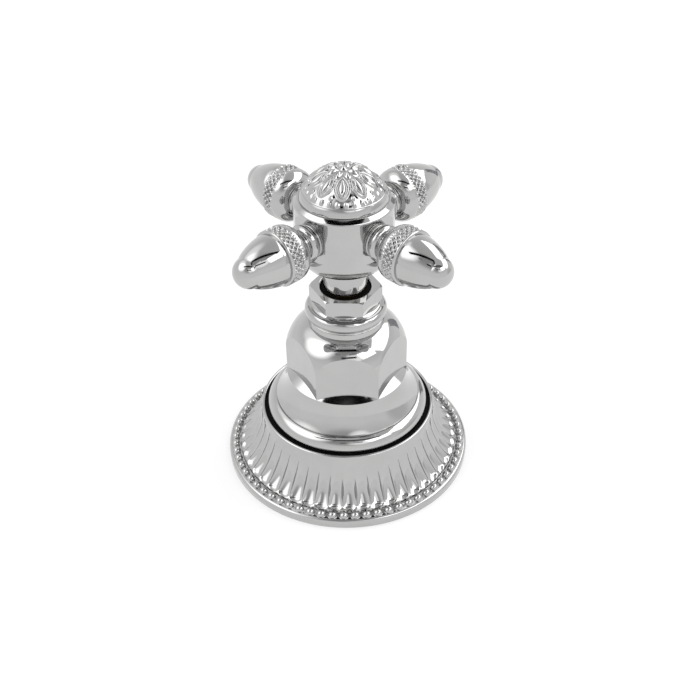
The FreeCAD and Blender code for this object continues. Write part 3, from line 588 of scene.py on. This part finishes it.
# %% The gland nut's hexagon
GLAND_FLATS = 15.33
GLAND_TURN = -3.0
GLAND_STEPS = 144
GLAND_BORE = 6.1
GLAND_HEXAGON_HEIGHT = 3.75
GLAND_CHAMFER = 0.5
GLAND_CHAMFER_DROP = 0.35
GLAND_MOUTH_RADIUS = 6.65
GLAND_MOUTH_ROUND = 0.5
GLAND_SEAT_RADIUS = 6.3
GLAND_SEAT_DROP = 1.0
GLAND_CORNER_ROOM = 0.02
gland_corner = GLAND_FLATS / math.sqrt(3)
gland_hexagon_foot = gland_top - GLAND_HEXAGON_HEIGHT
gland = spin_outline(trace([
    to(GLAND_SEAT_RADIUS, gland_hexagon_foot - GLAND_SEAT_DROP),
    to(gland_corner, gland_hexagon_foot),
    to(gland_corner + GLAND_CORNER_ROOM, gland_top - GLAND_CHAMFER_DROP),
    to(gland_corner - GLAND_CHAMFER, gland_top),
    to(GLAND_MOUTH_RADIUS, gland_top),
    out_to(GLAND_MOUTH_RADIUS - GLAND_MOUTH_ROUND, gland_top - GLAND_MOUTH_ROUND,
           GLAND_MOUTH_ROUND),
    to(GLAND_BORE, gland_hexagon_foot - GLAND_SEAT_DROP / 2),
], degrees=12), GLAND_STEPS)
mill_flats(gland, GLAND_FLATS / 2, GLAND_TURN)
print("gland nut: hexagon", GLAND_FLATS, "mm across its flats")

# %% The gland nut's foot ring, collar and cove
FOOT_RING_RADIUS = 9.1
FOOT_RING_FLARE = 0.2
FOOT_RING_EDGE = 0.4
FOOT_RING_ROUND = 0.3
FOOT_RING_TAPER = 0.05
FOOT_RING_HEIGHT = 1.6
GLAND_ROLL_FOOT_RADIUS = 9.0
GLAND_ROLL_FOOT_RISE = 2.0
GLAND_ROLL_FOOT_SWEEP = 0.4
GLAND_ROLL_TOP_RADIUS = 9.35
GLAND_ROLL_TOP_RISE = 5.0
GLAND_ROLL_SWEEP = 1.75
COVE_RADIUS = 7.4
COVE_SWEEP = 1.5
COVE_OVERLAP = 0.1
GLAND_INSIDE_RADIUS = 7.05
GLAND_LIP_RADIUS = 6.6
GLAND_LIP_THICKNESS = 0.7
cove_top = gland_hexagon_foot + COVE_OVERLAP
join(gland, spin_outline(trace([
    to(GLAND_INSIDE_RADIUS, bell_top),
    to(FOOT_RING_RADIUS, bell_top),
    out_to(FOOT_RING_RADIUS + FOOT_RING_FLARE, bell_top + FOOT_RING_EDGE, FOOT_RING_ROUND),
    to(FOOT_RING_RADIUS + FOOT_RING_FLARE - FOOT_RING_TAPER, bell_top + FOOT_RING_HEIGHT),
    in_to(GLAND_ROLL_FOOT_RADIUS, bell_top + GLAND_ROLL_FOOT_RISE, GLAND_ROLL_FOOT_SWEEP),
    out_to(GLAND_ROLL_TOP_RADIUS, bell_top + GLAND_ROLL_TOP_RISE, GLAND_ROLL_SWEEP),
    in_to(COVE_RADIUS, cove_top, COVE_SWEEP),
    to(GLAND_LIP_RADIUS, cove_top),
    to(GLAND_INSIDE_RADIUS, cove_top - GLAND_LIP_THICKNESS),
], degrees=9), GLAND_STEPS))
chromed(gland, "gland_nut_chromed", "valve", "gland_nut", sharp=28)

# %% [markdown]
# The hub is the barrel of the cross handle: a neck, a rounded bowl, a straight barrel with a
# bevelled rim, and under each arm a flat milled face. The faces are round pockets across a
# cylinder, so a Boolean modifier cuts them with four spun plugs.

# %% The hub's barrel
HUB_RADIUS = 11.7
HUB_STEPS = 240
HUB_BORE = 4.8
HUB_NECK_RADIUS = 5.3
HUB_NECK_ROUND = 0.3
HUB_NECK_HEIGHT = 5.0
HUB_FILLET = 0.8
HUB_FILLET_RISE = 6.1
HUB_FILLET_SWEEP = 1.3
HUB_BOWL_RISE = 10.8
HUB_BOWL_SWEEP = 6.4
RIM_DROP = 1.2
RIM_BEVEL_INSET = 0.25
RIM_BEVEL_DROP = 0.65
RIM_BEVEL_SWEEP = 0.6
RIM_TOP_INSET = 1.0
BUTTON_WELL_RADIUS = 8.6
BUTTON_WELL_DEPTH = 4.0
hub = spin_outline(trace([
    to(HUB_BORE, hub_foot),
    to(HUB_NECK_RADIUS - HUB_NECK_ROUND, hub_foot),
    out_to(HUB_NECK_RADIUS, hub_foot + HUB_NECK_ROUND, HUB_NECK_ROUND),
    to(HUB_NECK_RADIUS, hub_foot + HUB_NECK_HEIGHT),
    in_to(HUB_NECK_RADIUS + HUB_FILLET, hub_foot + HUB_FILLET_RISE, HUB_FILLET_SWEEP),
    out_to(HUB_RADIUS, hub_foot + HUB_BOWL_RISE, HUB_BOWL_SWEEP),
    to(HUB_RADIUS, hub_top - RIM_DROP),
    out_to(HUB_RADIUS - RIM_BEVEL_INSET, hub_top - RIM_BEVEL_DROP, RIM_BEVEL_SWEEP),
    to(HUB_RADIUS - RIM_TOP_INSET, hub_top),
    to(BUTTON_WELL_RADIUS, hub_top),
    to(BUTTON_WELL_RADIUS, hub_top - BUTTON_WELL_DEPTH),
    to(HUB_BORE, hub_top - BUTTON_WELL_DEPTH),
], degrees=4), HUB_STEPS)
print("hub:", len(hub.verts), "vertices before milling")

# %% The plugs that mill the four faces
ARMS = 4
ARM_TURN = 43.8
FACE_REACH = 10.7
FACE_RADIUS = 6.0
PLUG_LENGTH = 4.0
PLUG_STEPS = 96


def along_arm(arm, reach=0.0):
    """The matrix that lays a piece made along z on an arm, so far from the hub's axis."""
    return (Matrix.Rotation(math.radians(ARM_TURN + 360 / ARMS * arm), 4, "Z")
            @ Matrix.Translation((reach * MM, 0, arm_height * MM))
            @ Matrix.Rotation(math.radians(90), 4, "Y"))


plugs = bmesh.new()
for arm in range(ARMS):
    plug = bmesh.ops.create_cone(plugs, cap_ends=True, segments=PLUG_STEPS,
                                 depth=PLUG_LENGTH * MM,
                                 radius1=FACE_RADIUS * MM, radius2=FACE_RADIUS * MM)
    bmesh.ops.transform(plugs, verts=plug["verts"],
                        matrix=along_arm(arm, FACE_REACH + PLUG_LENGTH / 2))
print("plugs:", len(plugs.verts), "vertices")


# %% Mill the faces
def cut_away(bm, cutter):
    """Subtract one bmesh from another with the exact Boolean, and hand back the result."""
    objects = []
    for source in (bm, cutter):
        mesh = bpy.data.meshes.new("boolean")
        source.to_mesh(mesh)
        source.free()
        obj = bpy.data.objects.new("boolean", mesh)
        bpy.context.scene.collection.objects.link(obj)
        objects.append(obj)
    work, tool = objects
    modifier = work.modifiers.new("cut", "BOOLEAN")
    modifier.operation = "DIFFERENCE"
    modifier.solver = "EXACT"
    modifier.object = tool
    graph = bpy.context.evaluated_depsgraph_get()
    graph.update()
    result = bpy.data.meshes.new_from_object(work.evaluated_get(graph))
    cut = bmesh.new()
    cut.from_mesh(result)
    bpy.data.meshes.remove(result)
    for obj in objects:
        bpy.data.objects.remove(obj)
    return cut


chromed(cut_away(hub, plugs), "hub_barrel", "handle", "handle_hub", sharp=30)

# %% [markdown]
# Each arm is an acorn on a stud: a beaded collar against the hub, a cup whose band is
# knurled in crossing ribs, and a smooth pointed nut. All three are spun about the arm's own
# axis and then laid out four times. First comes the collar.

# %% Collars
STUD_HOLE = 2.5
COLLAR_STEPS = 96
COLLAR_LENGTH = 4.1
COLLAR_RING_RADIUS = 3.9
COLLAR_RING_WIDTH = 0.5
COLLAR_RING_ROUND = 0.3
COLLAR_GROOVE_RADIUS = 3.5
COLLAR_GROOVE_REACH = 0.62
COLLAR_BEAD_RADIUS = 3.6
COLLAR_BEAD_REACH = 3.0
COLLAR_BEAD_SWEEP = 1.25
COLLAR_NECK_RADIUS = 3.3
COLLAR_NECK_REACH = 3.1
COLLAR_END_RADIUS = 3.8
COLLAR_END_SWEEP = 0.75
collar_end = FACE_REACH + COLLAR_LENGTH


def on_arms(shaped, name, node, sharp):
    """Place one copy of a piece, spun about z, on each arm."""
    for arm in range(ARMS):
        bm = shaped.copy()
        bmesh.ops.transform(bm, verts=bm.verts, matrix=along_arm(arm))
        chromed(bm, f"{name}_{arm + 1}", "handle", f"{node}_{arm + 1}", sharp)
    shaped.free()


collar = spin_outline(trace([
    to(STUD_HOLE, FACE_REACH),
    to(COLLAR_RING_RADIUS, FACE_REACH),
    out_to(COLLAR_RING_RADIUS, FACE_REACH + COLLAR_RING_WIDTH, COLLAR_RING_ROUND),
    to(COLLAR_GROOVE_RADIUS, FACE_REACH + COLLAR_GROOVE_REACH),
    out_to(COLLAR_BEAD_RADIUS, FACE_REACH + COLLAR_BEAD_REACH, COLLAR_BEAD_SWEEP),
    to(COLLAR_NECK_RADIUS, FACE_REACH + COLLAR_NECK_REACH),
    in_to(COLLAR_END_RADIUS, collar_end, COLLAR_END_SWEEP),
    to(STUD_HOLE, collar_end),
], degrees=12), COLLAR_STEPS)
on_arms(collar, "beaded_collar", "arm_collar", sharp=35)

# %% [markdown]
# The cup is a small bowl whose open end carries a knurled band. A knurling tool presses two
# families of ribs that cross, and leaves diamonds between them. The same is done by formula,
# as on the flutes: one wedge of the cup is spun fine enough, each vertex of its band finds
# how far it is from the nearest rib of either family, and the diamonds sink between the ribs.

# %% The cup's outline
BAND_OFFSET = 3.5
BAND_WIDTH = 2.8
BAND_ROWS = 20
BAND_ROUND = 0.45
CAP_FOOT_RADIUS = 4.3
CAP_RADIUS = 6.55
CAP_BOWL_SWEEP = 3.6
band_start = collar_end + BAND_OFFSET
band_end = band_start + BAND_WIDTH
cap_end = band_end + BAND_ROUND
cap_outline = trace([
    to(STUD_HOLE, collar_end),
    to(CAP_FOOT_RADIUS, collar_end),
    out_to(CAP_RADIUS, band_start, CAP_BOWL_SWEEP),
], degrees=6)
cap_outline += [Vector((CAP_RADIUS, band_start + (band_end - band_start) * row / BAND_ROWS))
                for row in range(1, BAND_ROWS + 1)]
cap_outline += trace([
    to(CAP_RADIUS, band_end),
    out_to(CAP_RADIUS - BAND_ROUND, cap_end, BAND_ROUND),
    to(STUD_HOLE, cap_end),
], degrees=20)[1:]
print(f"cup: band from {band_start:.2f} to {band_end:.2f} along the arm")

# %% Knurl one wedge of the band and repeat it
KNURLS = 28
KNURL_STEPS = 10
KNURL_DEPTH = 0.6
KNURL_RIB = 0.16
KNURL_FLANK = 0.5
KNURL_INNER_RADIUS = 5.6
KNURL_RUN_IN = 0.4
KNURL_RUN_OUT = 0.3
BAND_LIP = 0.1
pitch = math.tau * CAP_RADIUS / KNURLS
knurl_start = band_start - KNURL_RUN_IN
knurl_end = band_end - BAND_LIP
cup = spin_outline(cap_outline, KNURL_STEPS, share=1 / KNURLS)
for vert in cup.verts:
    reach = vert.co.z / MM
    radius = vert.co.xy.length / MM
    if radius < KNURL_INNER_RADIUS or not knurl_start < reach < knurl_end:
        continue
    around = math.atan2(vert.co.y, vert.co.x) * KNURLS / math.tau
    along = (reach - knurl_start) / pitch
    rising = abs(((around + along) % 1.0) * 2 - 1)
    falling = abs(((around - along) % 1.0) * 2 - 1)
    sink = min(1.0, max(0.0, min(rising, falling) - KNURL_RIB) / KNURL_FLANK)
    edge = min(1.0, (reach - knurl_start) / KNURL_RUN_IN, (knurl_end - reach) / KNURL_RUN_OUT)
    vert.co.xy = vert.co.xy.normalized() * (radius - KNURL_DEPTH * sink * edge) * MM
repeat_round(cup, KNURLS)
on_arms(cup, "knurled_cup", "acorn_cap", sharp=60)

# %% [markdown]
# The acorn itself is a blind nut that closes the arm. Its side is one long arc, and its tip
# is the cap of a ball, which keeps the point from looking sharp. On so smooth a shape the
# reflections show every facet, so the arcs are divided finely.

# %% Smooth acorns
NUT_STEPS = 144
NUT_RADIUS = 6.0
NUT_FOOT_INSET = 0.1
NUT_FOOT_HEIGHT = 0.8
NUT_SIDE_LENGTH = 7.6
NUT_SIDE_SWEEP = 17.0
NUT_TIP_RADIUS = 3.6
NUT_TIP_HEIGHT = 3.0
STUD_DEPTH = 6.6
nut = spin_outline(trace([
    to(STUD_HOLE, cap_end),
    to(NUT_RADIUS - NUT_FOOT_INSET, cap_end),
    to(NUT_RADIUS, cap_end + NUT_FOOT_HEIGHT),
    out_to(NUT_TIP_RADIUS, cap_end + NUT_SIDE_LENGTH, NUT_SIDE_SWEEP),
    out_to(0, cap_end + NUT_SIDE_LENGTH + NUT_TIP_HEIGHT,
           cap_sweep(NUT_TIP_RADIUS, NUT_TIP_HEIGHT)),
    to(0, cap_end + STUD_DEPTH),
    to(STUD_HOLE, cap_end + STUD_DEPTH),
], degrees=2), NUT_STEPS)
on_arms(nut, "smooth_acorn", "acorn_nut", sharp=30)

# %% [markdown]
# The index button closes the hub. Its dome carries a traditional rosette in low relief: ten
# pointed petals with raised rims, small beads between them, a chain of drops along the
# border and eight longer drops round a centre boss. A cast relief has no undercuts, so the
# dome is spun fine enough and its vertices are lifted by a height worked out for each spot.
# Places and sizes in the rosette are shares of the dome's radius.

# %% Bumps and petals
PETALS = 10
PETAL_START = 0.38
PETAL_LENGTH = 0.50
PETAL_HALF_WIDTH = 0.150
PETAL_SHIFT_POWER = 1.15
PETAL_ROUND_POWER = 0.75
PETAL_RIM = 0.042
PETAL_FIELD_INSET = 0.065
PETAL_FIELD_LEAST = 0.01
PETAL_FIELD_HEIGHT = 1.1
ROSETTE_TURN = math.radians(-3.5)


def smooth_bump(distance):
    """A rounded bump that is 1 at distance 0 and 0 from distance 1 on."""
    share = max(0.0, 1 - distance * distance)
    return share * share


def fold(angle, count):
    """The angle to the nearest of count spokes, the first of which points to the front."""
    sector = math.tau / count
    return (angle + math.pi / 2 - ROSETTE_TURN + sector / 2) % sector - sector / 2


def petal(along, aside):
    """The height of one petal, with a raised rim and a rounded field."""
    share = (along - PETAL_START) / PETAL_LENGTH
    if not 0 < share < 1:
        return 0.0
    swell = math.sin(math.pi * share ** PETAL_SHIFT_POWER) ** PETAL_ROUND_POWER
    half = PETAL_HALF_WIDTH * swell
    height = smooth_bump((aside - half) / PETAL_RIM)
    field = half - PETAL_FIELD_INSET
    if field > PETAL_FIELD_LEAST and aside < field:
        height = max(height, PETAL_FIELD_HEIGHT * (1 - (aside / field) ** 2) ** 0.5)
    return height


# %% [markdown]
# Everything else in the rosette is one round or long drop, repeated round the circle: a
# place along its spoke, a size, a height and a stretch along the spoke. The highest of them
# all wins at each spot, as where two bumps of a pattern meet in a mould.

# %% The rosette's relief
DROPS = 8
CHAIN_PER_PETAL = 3
BOSS_SIZE = 0.11
BOSS_HEIGHT = 1.2


def drop(radius, off, place, size, height, stretch=1.0):
    """The height of a drop whose spoke lies at an angle off from the spot."""
    gap = math.hypot((radius * math.cos(off) - place) / stretch, radius * math.sin(off))
    return height * smooth_bump(gap / size)


def relief(radius, angle):
    """Height of the rosette, where 1 is a petal's rim, at a spot of the dome."""
    off = fold(angle, PETALS)
    between = fold(angle + math.pi / PETALS, PETALS)
    chain = fold(angle + math.pi / PETALS / CHAIN_PER_PETAL, PETALS * CHAIN_PER_PETAL)
    inner = fold(angle + math.pi / DROPS, DROPS)
    return max(
        petal(radius * math.cos(off), abs(radius * math.sin(off))),
        drop(radius, between, place=0.47, size=0.055, height=0.9),
        drop(radius, between, place=0.85, size=0.060, height=0.8),
        drop(radius, chain, place=0.945, size=0.06, height=0.6, stretch=1.1),
        drop(radius, inner, place=0.255, size=0.075, height=1.1, stretch=2.1),
        BOSS_HEIGHT * smooth_bump(radius / BOSS_SIZE),
    )


# %% Spin the button
BUTTON_RADIUS = 10.3
BUTTON_STEPS = 400
BUTTON_LIP = 0.2
BUTTON_LIP_ROUND = 0.25
BUTTON_SEAT_GAP = 0.05
BORDER_RADIUS = 9.5
BORDER_STEP = 0.15
BORDER_DROP = 0.05
BORDER_SWEEP = 3.0
BORDER_HOLLOW_SWEEP = 0.4
DOME_RADIUS = BORDER_RADIUS - BORDER_STEP
DOME_FOOT_RISE = 1.85
DOME_LIFT = 0.02
RELIEF = 0.5
RELIEF_ROOM = 0.25
SHANK_RADIUS = 8.5
SHANK_BORE = 6.6
SHANK_DEPTH = 3.7
HOLLOW_RISE = 1.5
dome_foot = hub_top + DOME_FOOT_RISE
dome_height = button_top - dome_foot - RELIEF_ROOM
button_outline = trace([
    to(SHANK_BORE, hub_top - SHANK_DEPTH),
    to(SHANK_RADIUS, hub_top - SHANK_DEPTH),
    to(SHANK_RADIUS, hub_top - BUTTON_SEAT_GAP),
    to(BUTTON_RADIUS - BUTTON_LIP, hub_top - BUTTON_SEAT_GAP),
    out_to(BUTTON_RADIUS, hub_top + BUTTON_LIP, BUTTON_LIP_ROUND),
    out_to(BORDER_RADIUS + BORDER_STEP, dome_foot - BORDER_DROP, BORDER_SWEEP),
    in_to(DOME_RADIUS, dome_foot + DOME_LIFT, BORDER_HOLLOW_SWEEP),
], degrees=6)
button_outline += trace([
    to(DOME_RADIUS, dome_foot + DOME_LIFT),
    out_to(0, dome_foot + dome_height, cap_sweep(DOME_RADIUS, dome_height)),
    to(0, hub_top + HOLLOW_RISE),
    to(SHANK_BORE, hub_top + HOLLOW_RISE),
], degrees=0.55)[1:]
button = spin_outline(button_outline, BUTTON_STEPS)
print("button:", len(button.verts), "vertices")

# %% Raise the rosette
ABOVE_DOME_FOOT = 0.1
RELIEF_EDGE = 0.02
lifted = 0
for vert in button.verts:
    if vert.co.z / MM > dome_foot + ABOVE_DOME_FOOT:
        share = vert.co.xy.length / MM / DOME_RADIUS
        height = relief(share, math.atan2(vert.co.y, vert.co.x))
        vert.co.z += RELIEF * height * MM * min(1.0, (1 - share) / RELIEF_EDGE)
        lifted += 1
print("rosette:", PETALS, "petals, lifted", lifted, "vertices")
chromed(button, "rosette_button", "handle", "index_button", sharp=60)

# %% [markdown]
# The camera stands where the photograph was taken from. It was solved from the ellipses of
# the turned pieces and looks down by 40 degrees. The photograph is a crop from beside the
# middle of its picture, so a small lens shift, as large as the framing needs, puts the
# valve's axis in its place.

# %% Camera
CAMERA_PLACE = (0.0, -0.20519, 0.19181)
CAMERA_TURN = (40.121, -2.206, 0.422)
SENSOR_WIDTH = 36.0
NEAREST_SEEN = 0.005
FOCAL_PIXELS = 1032.5
FRAME_PIXELS = 700.0
AXIS_PIXELS = (377.7, 387.2)
down, aside, roll = [math.radians(angle) for angle in CAMERA_TURN]
camera_data = bpy.data.cameras.new("camera")
camera = bpy.data.objects.new("camera", camera_data)
camera.matrix_world = (Matrix.Translation(CAMERA_PLACE)
                       @ Matrix.Rotation(aside, 4, "Z")
                       @ Matrix.Rotation(math.radians(90) - down, 4, "X")
                       @ Matrix.Rotation(roll, 4, "Z"))
camera_data.sensor_width = SENSOR_WIDTH
camera_data.lens = SENSOR_WIDTH * FOCAL_PIXELS / FRAME_PIXELS
camera_data.shift_x = (FRAME_PIXELS / 2 - AXIS_PIXELS[0]) / FRAME_PIXELS
camera_data.shift_y = (AXIS_PIXELS[1] - FRAME_PIXELS / 2) / FRAME_PIXELS
camera_data.clip_start = NEAREST_SEEN
bpy.context.scene.collection.objects.link(camera)
bpy.context.scene.camera = camera
print(f"camera: lens {camera_data.lens:.1f} mm")

# %% [markdown]
# The valve stands on a plain pale floor. A photographer lights such a floor until it nearly
# burns out, so its material mixes a little plain glow into what the camera and the chrome
# see of it, while the light that it throws on the valve stays that of a matt board.

# %% Floor
FLOOR_REACH = 4.0
FLOOR_GAP = 0.0001
FLOOR_GLOW = 0.62


def flat_card(name, size):
    """A mesh of one face, so many metres to each side of its middle."""
    card = bmesh.new()
    bmesh.ops.create_grid(card, x_segments=1, y_segments=1, size=1.0)
    bmesh.ops.scale(card, verts=card.verts, vec=(*size, 1))
    data = bpy.data.meshes.new(name)
    card.to_mesh(data)
    card.free()
    return data


floor = bpy.data.objects.new("floor", flat_card("floor", (FLOOR_REACH, FLOOR_REACH)))
floor.location.z = -FLOOR_GAP
bpy.context.scene.collection.objects.link(floor)

floor_finish = Finish("pale_floor")
floor_finish.set(Base_Color=(0.90, 0.90, 0.90, 1), Roughness=0.7)
seen = (floor_finish.node("ShaderNodeLightPath", output="Is Camera Ray")
        + floor_finish.node("ShaderNodeLightPath", output="Is Glossy Ray"))
blend = floor_finish.node("ShaderNodeMixShader", None, {
    0: seen * FLOOR_GLOW,
    1: Signal(floor_finish, floor_finish.shader.outputs[0]),
    2: floor_finish.node("ShaderNodeEmission", None, {"Color": (1, 1, 1, 1)}),
})
floor_finish.feed(floor_finish.tree.nodes["Material Output"].inputs["Surface"], blend)
floor.data.materials.append(floor_finish.material)
print("floor:", 2 * FLOOR_REACH, "m wide")

# %% [markdown]
# Chrome shows nothing but its surroundings, so the light is the finish. A pale tent stands
# all round, a little darker overhead. Soft patches of it are brighter or darker than the
# rest, which gives the round pieces their slow changes from white to grey.

# %% Directions round the valve
VALVE_MIDDLE = Vector((0, 0, 0.05))


def direction_to(side, height):
    """The direction so many degrees to the right of the front, and so many up."""
    side, height = math.radians(side), math.radians(height)
    return Vector((math.sin(side) * math.cos(height), -math.cos(side) * math.cos(height),
                   math.sin(height)))


def facing_valve(side, height, distance):
    """The matrix of a lamp or card at a distance that faces the middle of the valve."""
    outwards = distance * direction_to(side, height)
    return (Matrix.Translation(VALVE_MIDDLE + outwards)
            @ (-outwards).to_track_quat("-Z", "Y").to_matrix().to_4x4())


# %% Tent
SHADE_START = 0.2
OVERHEAD_LIGHT = 0.68
PATCHES = (
    {"side": -120, "height": 52, "full": 8, "gone": 26, "strength": 0.6},
    {"side": -78, "height": 49, "full": 10, "gone": 32, "strength": 1.6},
    {"side": -5, "height": 54, "full": 14, "gone": 34, "strength": -0.32},
    {"side": 18, "height": 46, "full": 8, "gone": 18, "strength": 0.9},
    {"side": 85, "height": 2, "full": 8, "gone": 26, "strength": -0.25},
)
world = bpy.data.worlds.new("tent")
world.use_nodes = True
bpy.context.scene.world = world
tent = Shading(world.node_tree)
looking = tent.node("ShaderNodeTexCoord", output="Generated")
rise = tent.node("ShaderNodeSeparateXYZ", None, {0: looking}, output="Z")


def patch(side, height, full, gone, strength):
    """A soft round patch of the tent, full within one angle and gone at another."""
    near = tent.node("ShaderNodeVectorMath", {"operation": "DOT_PRODUCT"},
                     {0: looking, 1: direction_to(side, height)}, output="Value")
    return tent.node("ShaderNodeMapRange", {"interpolation_type": "SMOOTHSTEP"}, {
        "Value": near, "From Min": math.cos(math.radians(gone)),
        "From Max": math.cos(math.radians(full)), "To Min": 0.0, "To Max": strength})


light = tent.node("ShaderNodeMapRange", None, {
    "Value": rise, "From Min": SHADE_START, "From Max": 1.0,
    "To Min": 1.0, "To Max": OVERHEAD_LIGHT})
for values in PATCHES:
    light = light + patch(**values)
background = tent.tree.nodes["Background"]
tent.feed(background.inputs["Color"], (1, 1, 1, 1))
tent.feed(background.inputs["Strength"], tent.node("ShaderNodeMix", {"data_type": "FLOAT"}, {
    0: tent.node("ShaderNodeLightPath", output="Is Camera Ray"), 2: light, 3: 1.0}))
print("tent:", len(PATCHES), "patches")

# %% [markdown]
# Two soft panels stand on the right, one before the valve and one a little behind it, and
# give the broad white shapes on its round pieces. A light tent also has its opening, a slit
# for the lens, a seam and the stands that hold it. Chrome shows them as thin dark
# reflections, and these tell the eye that this is metal, so small cards stand for them.
# Only reflections see a card.

# %% Panels
PANEL_DISTANCE = 0.8
PANEL_BRIGHTNESS = 2.2


def soft_panel(name, side, height, size):
    """A soft light of even brightness that looks at the middle of the valve."""
    data = bpy.data.lights.new(name, "AREA")
    data.shape = "RECTANGLE"
    data.size, data.size_y = size
    data.energy = PANEL_BRIGHTNESS * math.pi * size[0] * size[1]
    lamp = bpy.data.objects.new(name, data)
    lamp.matrix_world = facing_valve(side, height, PANEL_DISTANCE)
    bpy.context.scene.collection.objects.link(lamp)
    print(f"{name}: {data.energy:.2f} W")


soft_panel("front_panel", side=50, height=46, size=(0.38, 0.30))
soft_panel("right_panel", side=112, height=45, size=(0.90, 0.42))

# %% Dark cards
CARD_DISTANCE = 0.6


def card_finish(name, colour):
    """Matt card without any gloss."""
    return Finish(name).set(Base_Color=tone(colour), Roughness=0.9, Specular_IOR_Level=0.0)


def dark_card(name, side, height, size, finish):
    """A card, so wide and high, that only its own reflection gives away."""
    data = flat_card(name, (size[0] / 2, size[1] / 2))
    data.materials.append(finish)
    card = bpy.data.objects.new(name, data)
    card.matrix_world = facing_valve(side, height, CARD_DISTANCE)
    card.visible_camera = False
    card.visible_shadow = False
    card.visible_diffuse = False
    card.visible_transmission = False
    bpy.context.scene.collection.objects.link(card)
    print(f"{name}: {size[0]} by {size[1]} m")


black = card_finish("dark_card", (0.0, 0.0, 0.0))
grey = card_finish("grey_card", (0.30, 0.30, 0.32))
dark_card("opening", side=0, height=72, size=(0.70, 0.085), finish=black)
dark_card("lens_slit", side=5, height=47, size=(0.26, 0.055), finish=black)
dark_card("seam", side=142, height=0, size=(0.12, 0.50), finish=grey)
dark_card("stand_left", side=-26, height=57, size=(0.075, 0.07), finish=grey)
dark_card("stand_right", side=18, height=58, size=(0.13, 0.06), finish=grey)

# %% [markdown]
# The view is shown without a film curve, so that the floor's white and the chrome's greys
# come out as they were set.

# %% The view
bpy.context.scene.view_settings.view_transform = "Standard"
